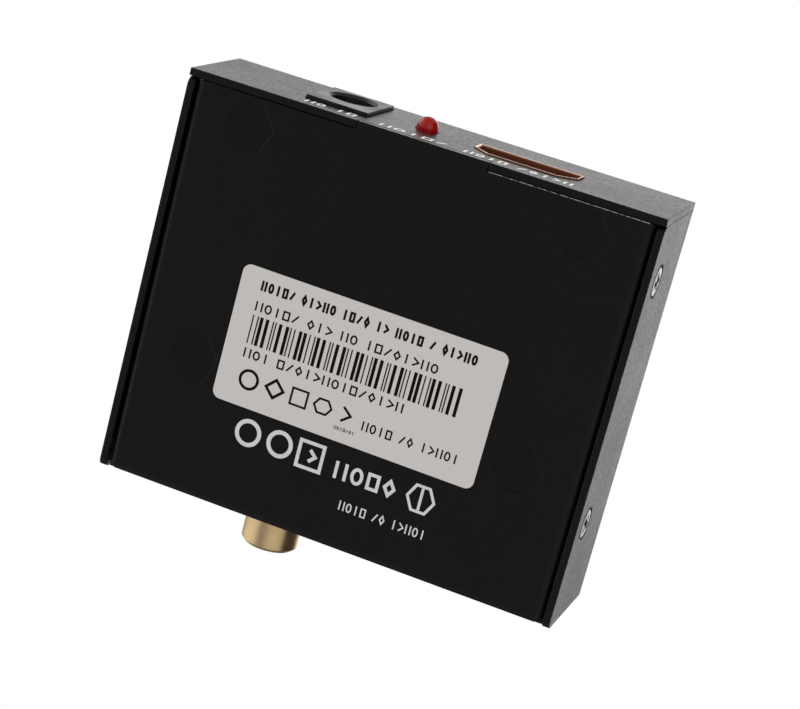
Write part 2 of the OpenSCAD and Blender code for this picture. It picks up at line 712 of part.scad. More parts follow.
function phono_contact_back() = phono_lip + phono_insulator_set - phono_proud + phono_contact_len;

// Stereo socket: moulded housing with a blind hole and a pocket for each spring
module stereo_housing() color(black_plastic) at_output(stereo_x) difference() {
    translate([-stereo_w / 2, sheet_t, 0]) cube([stereo_w, stereo_len, stereo_h]);
    rod_y(stereo_nose_d, 0, sheet_t + stereo_seat, stereo_axis_h);
    rod_y(stereo_bore_d + 2 * stereo_inner_gap, 0, sheet_t + stereo_inner_len, stereo_axis_h);
    for (side = [0, 1]) {
        stereo_spring(side, stereo_pocket);
        stereo_drop(side, 0);
    }
}

// Plated nose: a short tube through the output panel
module stereo_nose() color(nickel) at_output(stereo_x) difference() {
    rod_y(stereo_nose_d, -stereo_proud, sheet_t + stereo_seat, stereo_axis_h);
    rod_y(stereo_bore_d, -stereo_proud - overrun, sheet_t + stereo_seat + overrun, stereo_axis_h);
}

// Springs on both sides of the hole, each with a leg through the board
module stereo_springs() color(nickel) at_output(stereo_x) {
    for (side = [0, 1]) {
        stereo_spring(side, 0);
        stereo_drop(side, 0);
    }
    stereo_legs(0);
}

// One spring beside the hole, or with a depth value the pocket that it moves in
module stereo_spring(side, pocket) mirror([side, 0, 0])
    translate([stereo_bore_d / 2 + stereo_spring_gap, stereo_spring_ys[side][0],
        stereo_axis_h - stereo_spring_w / 2])
    cube([lug_t + pocket, stereo_spring_ys[side][1] - stereo_spring_ys[side][0], stereo_spring_w]);

module stereo_drop(side, grow) mirror([side, 0, 0])
    translate([stereo_bore_d / 2 + stereo_spring_gap, stereo_spring_ys[side][1] - stereo_spring_w, 0])
    cube([lug_t, stereo_spring_w, stereo_axis_h]);

module stereo_legs(grow) for (side = [0, 1]) mirror([side, 0, 0])
    foot_slot(stereo_bore_d / 2 + stereo_spring_gap + lug_t / 2,
        stereo_spring_ys[side][1] - stereo_spring_w / 2, lug_t, stereo_spring_w, grow);

// Square chip with leads on four sides, and a smaller one with leads on two
module receiver_chip() color(black_plastic) on_board(receiver_place_shares)
    leaded_chip([receiver_w, receiver_w], [receiver_leads, receiver_leads],
        receiver_pitch_share * receiver_w);

module audio_chip() color(black_plastic) on_board(audio_place_shares)
    leaded_chip([audio_len, audio_w], [audio_lead_count, 0], audio_pitch_share * audio_len);

// Flat metal can with round ends on a rim
module crystal_can() color(tin) on_board(crystal_place_shares) {
    linear_extrude(crystal_rim) stadium(crystal_len, crystal_w);
    linear_extrude(crystal_h) stadium(crystal_len - 2 * crystal_rim, crystal_w - 2 * crystal_rim);
}

// Upright cans on square feet
module smoothing_capacitors() color(tin) for (shares = capacitor_place_shares) on_board(shares) {
    linear_extrude(capacitor_foot_h) chamfered_plate(capacitor_d + 2 * capacitor_foot, capacitor_d / 5);
    cylinder(d = capacitor_d, h = capacitor_h);
}

// Wound inductor in a square frame with cut corners
module power_inductor() color(ferrite) on_board(inductor_place_shares) {
    linear_extrude(inductor_foot_h) chamfered_plate(inductor_w, inductor_corner);
    cylinder(d = inductor_w - inductor_corner, h = inductor_h - inductor_foot_h);
    translate([0, 0, inductor_h - inductor_foot_h])
        linear_extrude(inductor_foot_h) chamfered_plate(inductor_w, inductor_corner);
}

// Voltage regulator with a wide tab and three leads
module regulator() color(black_plastic) on_board(regulator_place_shares) {
    translate([-regulator_len / 2, -regulator_w / 2, body_lift])
        cube([regulator_len, regulator_w, regulator_h - body_lift]);
    along_x(-regulator_tab.x / 2, regulator_tab.x / 2)
        polygon(stepped_strip(0, regulator_w / 2 + pin_out, regulator_w / 2 + regulator_tab.y, regulator_h / 2, pin_t));
    mirror([0, 1, 0]) chip_leads(regulator_w / 2, regulator_lead_count, regulator_pitch, regulator_lead_w, regulator_h / 2);
}

// Rows of small chip resistors and capacitors
module chip_components() color(ceramic) for (row = passive_row_shares) on_board(row)
    for (i = [0 : row[2] - 1])
        translate([i * passive_pitch - passive_w / 2, -passive_len / 2, 0])
        cube([passive_w, passive_len, passive_h]);

// Plates, strips and places

// A 2D shape in x and z, drawn out from y0 to y1
module along_y(y0, y1) translate([0, y1, 0]) rotate([90, 0, 0]) linear_extrude(y1 - y0) children();

// A 2D shape in y and z, drawn out from x0 to x1
module along_x(x0, x1) translate([x0, 0, 0]) rotate([90, 0, 90]) linear_extrude(x1 - x0) children();

// A rod of diameter d along y, at height z
module rod_y(d, y0, y1, z) translate([0, y1, z]) rotate([90, 0, 0]) cylinder(d = d, h = y1 - y0);

// Places on the panels, with y running into the case and z up from the board
module at_input(x) translate([x, front_y, board_top_z]) children();
module at_output(x) translate([x, output_y, board_top_z]) rotate(180) children();
module on_board(shares)
    translate([shares[0] * board_w, board_mid_y + shares[1] * board_d, board_top_z]) children();

// Place of a side screw, with z running into the case
module at_side_screw(side, y)
    translate([side * case_w / 2, y, side_screw_up]) rotate([0, -side * 90, 0]) children();

// Leg of a socket through the board, or with a grow value the slot that takes it
module foot_slot(x, y, size_x, size_y, grow)
    translate([x - size_x / 2 - grow, y - size_y / 2 - grow, -board_t - 2 * grow])
    cube([size_x + 2 * grow, size_y + 2 * grow, board_t + 4 * grow]);

// Rectangle that stands on the x axis, with round upper corners
module rounded_top(w, h, r) {
    translate([-w / 2, 0]) square([w, h - r]);
    translate([r - w / 2, 0]) square([w - 2 * r, h]);
    for (side = [-1, 1]) translate([side * (w / 2 - r), h - r]) circle(r);
}

module rounded_plate(w, h, r) {
    square([w, h - 2 * r], center = true);
    square([w - 2 * r, h], center = true);
    for (x = [-1, 1], y = [-1, 1]) translate([x * (w / 2 - r), y * (h / 2 - r)]) circle(r);
}

module stadium(w, h) {
    square([w - h, h], center = true);
    for (side = [-1, 1]) translate([side * (w - h) / 2, 0]) circle(d = h);
}

module chamfered_top(w, h, c)
    polygon([[-w / 2, 0], [w / 2, 0], [w / 2, h - c], [w / 2 - c, h], [c - w / 2, h], [-w / 2, h - c]]);

module chamfered_plate(w, c) polygon([for (turn = [0 : 90 : 270], end = [0, 1])
    let (x = end == 0 ? w / 2 : w / 2 - c, y = end == 0 ? w / 2 - c : w / 2)
    [x * cos(turn) - y * sin(turn), x * sin(turn) + y * cos(turn)]]);

// Outline of the video opening, grown by the same amount on every side
function mouth_points(grow) = [for (side = [-1, 1], i = side < 0 ? [0, 1, 2] : [2, 1, 0])
    [[side * (mouth_flat_w / 2 + grow * (key_slope - key_run) / mouth_key_h), -grow],
    [side * (mouth_w / 2 + grow), mouth_key_h - grow * (key_slope - mouth_key_h) / key_run],
    [side * (mouth_w / 2 + grow), mouth_h + grow]][i]];

// Side view of a strip that runs level at height z, drops to the board and ends in a foot
function stepped_strip(start, drop, end, z, t) = [[start, z], [start, z + t], [drop + t, z + t],
    [drop + t, t], [end, t], [end, 0], [drop, 0], [drop, z]];

// Low spherical cap on a head of diameter d
module dome(d, h) let (r = (d * d / 4 + h * h) / (2 * h)) intersection() {
    translate([0, 0, h - r]) sphere(r, $fn = 96);
    cylinder(d = d, h = h);
}

module cross_recess(head_d, depth) for (turn = [0, 90]) rotate(turn)
    translate([-recess_span_share * head_d / 2, -recess_w / 2, 0])
    cube([recess_span_share * head_d, recess_w, depth]);

// One row of leads along x, in front of a body that reaches to y = edge
module chip_leads(edge, count, pitch, w, z) for (i = [0 : count - 1])
    along_x((i - (count - 1) / 2) * pitch - w / 2, (i - (count - 1) / 2) * pitch + w / 2)
    polygon(stepped_strip(edge - pin_out, edge + pin_out, edge + pin_foot, z, pin_t));

// Chip body with rows of leads on its long sides, and on its short sides if it has any there
module leaded_chip(size, counts, pitch) {
    translate([-size.x / 2, -size.y / 2, body_lift]) cube([size.x, size.y, chip_h - body_lift]);
    for (turn = [0, 180]) {
        rotate(turn) chip_leads(size.y / 2, counts.x, pitch, pin_w_share * pitch, chip_h / 2);
        if (counts.y > 0) rotate(turn + 90)
            chip_leads(size.x / 2, counts.y, pitch, pin_w_share * pitch, chip_h / 2);
    }
}

cover();
base();
case_screws();
rating_label();
standoffs();
board_screws();
circuit_board();
video_in_shell();
video_in_insulator();
video_in_contacts();
video_out_shell();
video_out_insulator();
video_out_contacts();
power_jack_housing();
power_jack_pin();
power_jack_spring();
lamp_lens();
lamp_leads();
phono_housing();
phono_barrel();
phono_insulator();
phono_contact();
stereo_housing();
stereo_nose();
stereo_springs();
receiver_chip();
audio_chip();
crystal_can();
smoothing_capacitors();
power_inductor();
regulator();
chip_components();
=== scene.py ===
import logging
import math
from dataclasses import dataclass
from enum import Enum
from typing import Any, NamedTuple, Sequence

import bpy
import numpy as np
from mathutils import Matrix, Vector


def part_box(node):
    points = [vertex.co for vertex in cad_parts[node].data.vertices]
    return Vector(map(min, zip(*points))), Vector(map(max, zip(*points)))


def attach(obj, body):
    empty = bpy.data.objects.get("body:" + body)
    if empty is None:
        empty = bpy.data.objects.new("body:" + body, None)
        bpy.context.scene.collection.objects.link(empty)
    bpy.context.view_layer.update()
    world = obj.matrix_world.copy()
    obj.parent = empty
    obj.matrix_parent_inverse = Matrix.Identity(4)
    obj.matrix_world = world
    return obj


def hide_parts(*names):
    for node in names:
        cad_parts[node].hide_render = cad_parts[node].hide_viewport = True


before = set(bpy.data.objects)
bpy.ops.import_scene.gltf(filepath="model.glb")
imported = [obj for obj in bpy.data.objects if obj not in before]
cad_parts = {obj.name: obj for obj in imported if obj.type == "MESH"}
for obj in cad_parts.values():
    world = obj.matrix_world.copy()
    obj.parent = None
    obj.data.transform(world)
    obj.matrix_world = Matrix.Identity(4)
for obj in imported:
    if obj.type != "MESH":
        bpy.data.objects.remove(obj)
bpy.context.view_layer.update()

LOG = logging.getLogger("extractor_box")
MM = 0.001
TURN = 2 * math.pi


class Shell(NamedTuple):
    """A closed surface: its points in millimetres and its faces as lists of point numbers."""

    points: np.ndarray
    faces: list[list[int]]


@dataclass(frozen=True)
class Place:
    """A local frame on the object: its origin in millimetres and its three unit axes."""

    origin: tuple[float, float, float]
    across: tuple[float, float, float]
    up: tuple[float, float, float]
    outward: tuple[float, float, float]

    def set_down(self, shell: Shell) -> Shell:
        """Moves a local shell onto the object.

        Each point is the origin plus its three values along across, up and outward.

        Args:
            shell: The shell in the local frame.

        Returns:
            The same shell in the object's frame.
        """
        axes = np.array([self.across, self.up, self.outward])
        return Shell(np.asarray(self.origin) + shell.points @ axes, shell.faces)


# Surfaces worked out as arrays


def grid_quads(rows: int, columns: int) -> np.ndarray:
    """Numbers the quads of a grid of points whose last column meets the first.

    Args:
        rows: Number of rows of points.
        columns: Number of points in a row.

    Returns:
        One row of four point numbers for each quad.
    """
    row, column = np.meshgrid(np.arange(rows - 1), np.arange(columns), indexing="ij")
    here, after = row * columns + column, row * columns + (column + 1) % columns
    return np.stack([here, after, after + columns, here + columns], axis=-1).reshape(-1, 4)


def ring_shell(rings: np.ndarray) -> Shell:
    """Closes a stack of rings into a shell, with a pole at the mean of its first and last ring.

    Args:
        rings: Points of shape (rings, points in a ring, 3), which turn clockwise as seen from the
            last ring, so that the faces point outwards.

    Returns:
        The closed shell.
    """
    count, around, _ = rings.shape
    points = np.vstack([rings.reshape(-1, 3), rings[0].mean(axis=0), rings[-1].mean(axis=0)])
    here = np.arange(around)
    after = np.roll(here, -1)
    top, pole = (count - 1) * around, np.full(around, count * around)
    caps = [np.stack([after, here, pole], axis=-1),
            np.stack([top + here, top + after, pole + 1], axis=-1)]
    return Shell(points, grid_quads(count, around).tolist() + np.concatenate(caps).tolist())


def wound(radius: Any, angle: np.ndarray, height: Any) -> np.ndarray:
    """Points round the outward axis: radius times (cosine, sine) of the angle, at the height.

    Args:
        radius: A number, a column or a grid of radii.
        angle: A row of angles in radians.
        height: A number, a column or a grid of heights.

    Returns:
        Points of shape (rings, points in a ring, 3).
    """
    radius, height = np.atleast_2d(radius), np.atleast_2d(height)
    points = np.broadcast_arrays(radius * np.cos(angle), radius * np.sin(angle), height)
    return np.stack(points, axis=-1)


def turned(profile: np.ndarray, segments: int) -> Shell:
    """Turns a profile about the local outward axis.

    Args:
        profile: Rows of (radius, height) from the lowest point to the highest, in millimetres.
        segments: Number of points round the axis.

    Returns:
        A closed shell in local coordinates.
    """
    angle = np.arange(segments) * TURN / segments
    return ring_shell(wound(profile[:, :1], angle, profile[:, 1:]))


def arc(middle: tuple[float, float], radius: float, start: float, end: float,
        count: int) -> np.ndarray:
    """Points on an arc: the middle plus the radius times (cosine, sine) of the angle.

    Args:
        middle: Middle of the arc.
        radius: Its radius.
        start: First angle in degrees.
        end: Last angle in degrees.
        count: Number of points.

    Returns:
        One point per row.
    """
    angle = np.radians(np.linspace(start, end, count))
    return np.asarray(middle) + radius * np.stack([np.cos(angle), np.sin(angle)], axis=-1)


def band(path: np.ndarray, width: float, thickness: float, closed: bool) -> Shell:
    """A flat band with square edges along a path, lying on the local plane of height zero.

    At each point the sides lie half the width away along the mean of the two neighbouring
    normals, lengthened by one over the cosine of half the turn, so that the band keeps its width.

    Args:
        path: Points of the middle line, one (across, up) per row.
        width: Width of the band.
        thickness: Thickness of the band.
        closed: Whether the path runs back to its first point.

    Returns:
        The closed shell in local coordinates.
    """
    step = np.roll(path, -1, axis=0) - path
    step /= np.linalg.norm(step, axis=1, keepdims=True)
    before = np.roll(step, 1, axis=0)
    if not closed:
        before[0], step[-1], before[-1] = step[0], step[-2], step[-2]
    mean = step + before
    mean /= np.linalg.norm(mean, axis=1, keepdims=True)
    reach = width / 2 / np.sum(mean * step, axis=1, keepdims=True)
    side = np.stack([-mean[:, 1], mean[:, 0]], axis=-1) * reach
    corners = ((side, 0.0), (-side, 0.0), (-side, thickness), (side, thickness))
    section = np.stack([np.insert(path + off, 2, height, axis=1) for off, height in corners], 1)
    count = len(path)
    if closed:
        # The quads after the last ring take the numbers of the first
        return Shell(section.reshape(-1, 3), (grid_quads(count + 1, 4) % (4 * count)).tolist())
    end = 4 * (count - 1)
    ends = [[3, 2, 1, 0], [end, end + 1, end + 2, end + 3]]
    return Shell(section.reshape(-1, 3), grid_quads(count, 4).tolist() + ends)


def block(low: Sequence[float], high: Sequence[float]) -> Shell:
    """A block between two corners, drawn as a band along its middle line.

    Args:
        low: Lowest corner.
        high: Highest corner.

    Returns:
        The closed shell in local coordinates.
    """
    middle = (low[1] + high[1]) / 2
    path = np.array([[low[0], middle], [high[0], middle]], float)
    flat = band(path, high[1] - low[1], high[2] - low[2], closed=False)
    return Shell(flat.points + (0, 0, low[2]), flat.faces)


def joined(shells: Sequence[Shell]) -> Shell:
    """Puts several shells into one, each one's faces numbered after the last one's points.

    Args:
        shells: The shells.

    Returns:
        One shell with all their points and faces.
    """
    starts = np.cumsum([0] + [len(shell.points) for shell in shells]).tolist()
    faces = [[n + start for n in face] for shell, start in zip(shells, starts)
             for face in shell.faces]
    return Shell(np.vstack([shell.points for shell in shells]), faces)


def put(name: str, data: Any) -> bpy.types.Object:
    """Makes an object of a mesh, a light or a camera and puts it into the scene.

    Args:
        name: Name of the object.
        data: The mesh, light or camera.

    Returns:
        The new object.
    """
    thing = bpy.data.objects.new(name, data)
    bpy.context.scene.collection.objects.link(thing)
    return thing


def add_piece(name: str, shell: Shell, material: bpy.types.Material,
              crease: float = 35.0) -> bpy.types.Object:
    """Makes a shell a piece of the object, at the origin and with its place in its mesh.

    Args:
        name: Name of the piece.
        shell: Its surface, in millimetres.
        material: Its finish.
        crease: Angle in degrees above which an edge stays sharp.

    Returns:
        The new object.
    """
    mesh = bpy.data.meshes.new(name)
    mesh.from_pydata((shell.points * MM).tolist(), [], shell.faces)
    mesh.shade_smooth()
    mesh.set_sharp_from_angle(angle=math.radians(crease))
    mesh.materials.append(material)
    piece = put(name, mesh)
    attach(piece, "root")
    LOG.info("%s: %d points, %d faces", name, len(mesh.vertices), len(mesh.polygons))
    return piece


# Finishes

Tree = bpy.types.NodeTree
Node = bpy.types.Node
Inputs = dict[Any, Any]

SMOOTH = {"interpolation_type": "SMOOTHSTEP"}
COLOURS = {"data_type": "RGBA"}
NUMBERS = {"data_type": "FLOAT"}
# Where a noise starts and ends to rise, for broad patches and for patches with a crisp edge
BROAD = (0.3, 0.7)
CRISP = (0.4, 0.6)


def linear(code: str, share: float = 1.0) -> tuple[float, float, float, float]:
    """Turns an sRGB hex colour to linear light, by the two branches of the sRGB curve.

    Args:
        code: Six hex digits, such as "1a1a18".
        share: Share of that light that is kept.

    Returns:
        Red, green and blue in linear light, and an alpha of one.
    """
    parts = [int(code[i:i + 2], 16) / 255 for i in (0, 2, 4)]
    red, green, blue = [
        share * (p / 12.92 if p <= 0.04045 else ((p + 0.055) / 1.055) ** 2.4) for p in parts]
    return red, green, blue, 1.0


def empty_tree(owner: Any) -> Tree:
    """Gives a material or a world an empty node tree.

    Args:
        owner: The material or the world.

    Returns:
        Its node tree.
    """
    owner.use_nodes = True
    owner.node_tree.nodes.clear()
    return owner.node_tree


def add_node(tree: Tree, kind: str, inputs: Inputs | Sequence[Any] = (), **settings: Any) -> Node:
    """Adds a node with its settings, its values and its links.

    Args:
        tree: The node tree.
        kind: The node's type, without the word ShaderNode.
        inputs: What its inputs get, in their order or by their names or numbers: a value, a
            socket, or a node, of which the first output in use is taken.
        **settings: The node's own properties.

    Returns:
        The new node.
    """
    node = tree.nodes.new("ShaderNode" + kind)
    for key, value in settings.items():
        setattr(node, key, value)
    for key, value in inputs.items() if isinstance(inputs, dict) else enumerate(inputs):
        if isinstance(value, Node):
            value = next(output for output in value.outputs if output.enabled)
        if isinstance(value, bpy.types.NodeSocket):
            tree.links.new(value, node.inputs[key])
        else:
            node.inputs[key].default_value = value
    return node


class Axis(Enum):
    """Way along which a surface was brushed or turned."""

    X = 0
    Y = 1
    Z = 2


@dataclass(frozen=True)
class Finish:
    """A real material, and how its surface was made.

    Attributes:
        name: Common name of the material and its finish.
        colour: sRGB hex colour of the surface.
        roughness: Roughness of the bare surface.
        metallic: One for a metal and zero for anything else.
        grain: Size of its fine pattern, in millimetres.
        relief: Height of that pattern, in millimetres.
        edge: Radius of the edges, in millimetres.
        shine: Strength of the surface's own shine, where 0.5 is that of clear varnish.
        tones: Darkest and lightest patch, as shares of the colour.
        sway: How far the roughness goes down and up from patch to patch.
    """

    name: str
    colour: str
    roughness: float
    metallic: float = 0.0
    grain: float = 0.3
    relief: float = 0.004
    edge: float = 0.1
    shine: float = 0.5
    tones: tuple[float, float] = (0.85, 1.1)
    sway: tuple[float, float] = (-0.06, 0.06)

    def build(self) -> bpy.types.Material:
        """Makes the material once and gives it back each time it is asked for.

        Returns:
            The material.
        """
        if self.name in bpy.data.materials:
            return bpy.data.materials[self.name]
        material = bpy.data.materials.new(self.name)
        tree = empty_tree(material)
        plain = {"Base Color": linear(self.colour), "Roughness": self.roughness,
                 "Metallic": self.metallic, "Specular IOR Level": self.shine}
        shader = add_node(tree, "BsdfPrincipled", plain | self.dress(tree))
        add_node(tree, "OutputMaterial", {"Surface": shader})
        return material

    def axes(self, tree: Tree) -> Sequence[bpy.types.NodeSocket]:
        """Place on the object along its three axes, in metres from its origin."""
        place = add_node(tree, "TexCoord").outputs["Object"]
        return add_node(tree, "SeparateXYZ", [place]).outputs

    def noise(self, tree: Tree, size: float, detail: float = 2.0,
              stretch: tuple[float, ...] = (1, 1, 1)) -> Node:
        """Even noise with features of a real size.

        Args:
            tree: The node tree.
            size: Size of a feature, in millimetres.
            detail: Number of finer layers.
            stretch: How many times finer the noise is along each axis.

        Returns:
            The noise, from zero to one.
        """
        place = add_node(tree, "TexCoord").outputs["Object"]
        spot = add_node(tree, "Mapping", {"Vector": place, "Scale": stretch})
        scale = 1 / (size * MM)
        return add_node(tree, "TexNoise", {"Vector": spot, "Scale": scale, "Detail": detail})

    def worn(self, tree: Tree, patch: Node) -> Node:
        """Roughness that varies smoothly with a noise, by the finish's sway."""
        low, high = (self.roughness + sway for sway in self.sway)
        return add_node(tree, "MapRange", (patch, *BROAD, low, high), **SMOOTH)

    def surface(self, tree: Tree, height: Node) -> Inputs:
        """Relief of the shader and its coat: a height pattern over softly rounded edges.

        Args:
            tree: The node tree.
            height: The pattern's height, from zero to one.

        Returns:
            The shader's inputs.
        """
        rounded = add_node(tree, "Bevel", {"Radius": self.edge * MM}, samples=6)
        relief = add_node(tree, "Bump", {
            "Height": height, "Distance": self.relief * MM, "Normal": rounded})
        return {"Normal": relief, "Coat Normal": relief}

    def dress(self, tree: Tree) -> Inputs:
        """This finish's pattern: here a moulded surface's grain, in patches 12 grains wide.

        Args:
            tree: The node tree.

        Returns:
            The shader's inputs.
        """
        patch = self.noise(tree, 12 * self.grain)
        dark, light = (linear(self.colour, tone) for tone in self.tones)
        return {
            "Base Color": add_node(tree, "Mix", {0: patch, 6: dark, 7: light}, **COLOURS),
            "Roughness": self.worn(tree, patch),
            **self.surface(tree, self.noise(tree, self.grain)),
        }


@dataclass(frozen=True)
class PowderCoat(Finish):
    """Black polyester powder baked on folded steel: a fine satin grain, a few specks of dust, and
    bare steel that glints where the paint is thin along the front edge of the bottom plate.

    Attributes:
        cloud: Size of a patch of one roughness, in millimetres.
        mottle: Size of a patch of one tone, in millimetres.
        dust: Colour of a dust speck.
        speck: Diameter of a speck, in millimetres.
        cell: Size of the cells of which a few hold a speck, in millimetres.
        dusty: Share of the cells that hold one.
        steel: Colour of the bare steel.
        glint_x: Where the bare edge starts and ends, in millimetres from the middle.
        glint_w: Width of the bare edge, in millimetres.
        glint_grain: Size of the stretches that break it up, in millimetres.
        glint_low: How bare the edge is where it is least so.
        seam: From the face of the input panel to the front edge of the plate, in millimetres.
        film: Greatest share of the glassy film that melted powder leaves between its grains.
        film_grain: Size of a patch of that film, in millimetres.
        lying: Upward part of a face's direction from which the film thins, and at which it ends.
    """

    shine: float = 0.2
    tones: tuple[float, float] = (1.0, 1.5)
    sway: tuple[float, float] = (-0.015, 0.015)
    cloud: float = 9.0
    mottle: float = 0.5
    dust: str = "6e6c68"
    speck: float = 0.11
    cell: float = 3.0
    dusty: float = 0.09
    steel: str = "d6d2ca"
    glint_x: tuple[float, float] = (9.6, 31.9)
    glint_w: float = 0.09
    glint_grain: float = 0.6
    glint_low: float = 0.12
    seam: float = 1.15
    film: float = 0.25
    film_grain: float = 0.45
    lying: tuple[float, float] = (0.3, 0.8)

    def dress(self, tree: Tree) -> Inputs:
        """Grain, specks of dust, the glint of bare steel, and film on the upright faces.

        Args:
            tree: The node tree.

        Returns:
            The shader's inputs.
        """
        colour, light = (linear(self.colour, tone) for tone in self.tones)
        mottle, glint = self.noise(tree, self.mottle, detail=1.0), self.glint(tree)
        for share, over in ((mottle, light), (self.specks(tree), linear(self.dust)),
                            (glint, linear(self.steel))):
            colour = add_node(tree, "Mix", {0: share, 6: colour, 7: over}, **COLOURS)
        return {
            "Base Color": colour, "Metallic": glint,
            "Roughness": self.worn(tree, self.noise(tree, self.cloud)),
            "Coat Weight": self.film_share(tree), "Coat Roughness": self.roughness,
            **self.surface(tree, self.noise(tree, self.grain, detail=3.0)),
        }

    def film_share(self, tree: Tree) -> Node:
        """Share of the glassy film: patches on the faces that stood upright in the oven.

        Args:
            tree: The node tree.

        Returns:
            The share, from zero to one.
        """
        patch = self.noise(tree, self.film_grain, detail=1.0)
        film = add_node(tree, "MapRange", (patch, *CRISP, 0.0, self.film), **SMOOTH)
        normal = add_node(tree, "TexCoord").outputs["Normal"]
        rise = add_node(tree, "SeparateXYZ", [normal]).outputs["Z"]
        level = add_node(tree, "Math", [rise], operation="ABSOLUTE")
        upright = add_node(tree, "MapRange", (level, *self.lying, 1.0, 0.0), **SMOOTH)
        return add_node(tree, "Math", (film, upright), operation="MULTIPLY")

    def specks(self, tree: Tree) -> Node:
        """One within a speck's radius of the middle of a cell, in the few cells that hold one.

        Args:
            tree: The node tree.

        Returns:
            The share, from zero to one.
        """
        place = add_node(tree, "TexCoord").outputs["Object"]
        cells = add_node(tree, "TexVoronoi", {"Vector": place, "Scale": 1 / (self.cell * MM)})
        near = add_node(tree, "Math", (cells, self.speck / 2 / self.cell), operation="LESS_THAN")
        pick = add_node(tree, "SeparateColor", [cells.outputs["Color"]])
        rare = add_node(tree, "Math", (pick, self.dusty), operation="LESS_THAN")
        return add_node(tree, "Math", (near, rare), operation="MULTIPLY")

    def glint(self, tree: Tree) -> Node:
        """One on the bare stretch of the plate's front lower edge, broken up by noise.

        Args:
            tree: The node tree.

        Returns:
            The share, from zero to one.
        """
        start, end = self.glint_x
        plate_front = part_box("cover")[0].y / MM + self.seam
        middles = ((start + end) / 2, plate_front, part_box("base")[0].z / MM)
        reaches = ((end - start) / 2, self.glint_w, self.glint_w)
        broken = self.noise(tree, self.glint_grain)
        share = add_node(tree, "MapRange", (broken, *CRISP, self.glint_low, 1.0), **SMOOTH)
        for value, middle, reach in zip(self.axes(tree), middles, reaches):
            inside = add_node(tree, "Math", (value, middle * MM, reach * MM), operation="COMPARE")
            share = add_node(tree, "Math", (share, inside), operation="MULTIPLY")
        return share


@dataclass(frozen=True)
class Plating(Finish):
    """Bright metal plated on turned or drawn metal: fine lines run round or along the piece.

    Attributes:
        lines: Way across which the fine lines follow one another.
        pitch: Distance between lines, in millimetres. Real turning lines are about 0.05 mm apart.
        run: How much finer the pattern is across the lines than along them, as its inverse.
        cloud: Size of a handled patch, in millimetres.
        anisotropy: How much the lines spread a highlight across themselves, from zero to one.
    """

    metallic: float = 1.0
    tones: tuple[float, float] = (0.82, 1.0)
    sway: tuple[float, float] = (-0.05, 0.07)
    lines: Axis = Axis.Y
    pitch: float = 0.12
    run: float = 0.04
    cloud: float = 2.5
    anisotropy: float = 0.0

    def dress(self, tree: Tree) -> Inputs:
        """Fine lines in the relief, and cloudy roughness as on a handled plated surface.

        Args:
            tree: The node tree.

        Returns:
            The shader's inputs.
        """
        stretch = tuple(1.0 if axis is self.lines else self.run for axis in Axis)
        line = self.noise(tree, self.pitch, 1.0, stretch)
        deep, bright = (linear(self.colour, tone) for tone in self.tones)
        across = [float(axis is self.lines) for axis in Axis]
        return {
            "Base Color": add_node(tree, "Mix", {0: line, 6: bright, 7: deep}, **COLOURS),
            "Roughness": self.worn(tree, self.noise(tree, self.cloud)),
            "Anisotropic": self.anisotropy,
            "Tangent": add_node(tree, "CombineXYZ", across),
            **self.surface(tree, line),
        }


@dataclass(frozen=True)
class PlatingWithPaintedShade(Plating):
    """Plating that is bright on the face and dull inside a recess, with shade painted there: past
    the rim the colour turns darker, and the surface rougher and less metallic.

    Attributes:
        inside: Colour inside, a painted shade.
        inside_roughness: Roughness inside.
        inside_metallic: How metallic the surface stays inside, under the painted shade.
        deep: Way in.
        rim: Distance of the face from the middle of the case along that way, in millimetres.
        soft: Half the width of the parting, in millimetres.
    """

    # Brown painted shade for the inside of a socket shell
    inside: str = "6e3418"
    inside_roughness: float = 0.5
    inside_metallic: float = 0.3
    deep: Axis = Axis.Y
    rim: float = 29.2
    soft: float = 0.03

    def dress(self, tree: Tree) -> Inputs:
        """Parts the plating's colour from the painted shade at the rim, on both sides of the case.

        Args:
            tree: The node tree.

        Returns:
            The shader's inputs.
        """
        away = add_node(tree, "Math", [self.axes(tree)[self.deep.value]], operation="ABSOLUTE")
        low, high = (self.rim - self.soft) * MM, (self.rim + self.soft) * MM
        rim = add_node(tree, "MapRange", (away, low, high, 0.0, 1.0), **SMOOTH)
        dull = {"Roughness": (self.inside_roughness, self.roughness),
                "Metallic": (self.inside_metallic, self.metallic)}
        # Painted shade: the darker colour inside the rim stands in for the recess's shadow
        colours = {0: rim, 6: linear(self.inside), 7: linear(self.colour)}
        return super().dress(tree) | {
            "Base Color": add_node(tree, "Mix", colours, **COLOURS),
            **{name: add_node(tree, "MapRange", (rim, 0.0, 1.0, *ends), **SMOOTH)
               for name, ends in dull.items()},
        }


@dataclass(frozen=True)
class Split(Finish):
    """Two finishes on one piece, parted at a height over the object's foot.

    Attributes:
        height: Height of the parting, in millimetres.
        under: Colour under it.
        under_roughness: Roughness under it.
    """

    height: float = 1.0
    under: str = "111110"
    under_roughness: float = 0.45

    def dress(self, tree: Tree) -> Inputs:
        """Paint under the parting and bare plated metal over it.

        Args:
            tree: The node tree.

        Returns:
            The shader's inputs.
        """
        height = self.axes(tree)["Z"]
        over = add_node(tree, "Math", (height, self.height * MM), operation="GREATER_THAN")
        colours = {0: over, 6: linear(self.under), 7: linear(self.colour)}
        rough = (over, 0.0, 1.0, self.under_roughness, self.roughness)
        return {
            "Base Color": add_node(tree, "Mix", colours, **COLOURS),
            "Metallic": add_node(tree, "Math", (over, self.metallic), operation="MULTIPLY"),
            "Roughness": add_node(tree, "MapRange", rough, **SMOOTH),
            **self.surface(tree, self.noise(tree, self.grain)),
        }


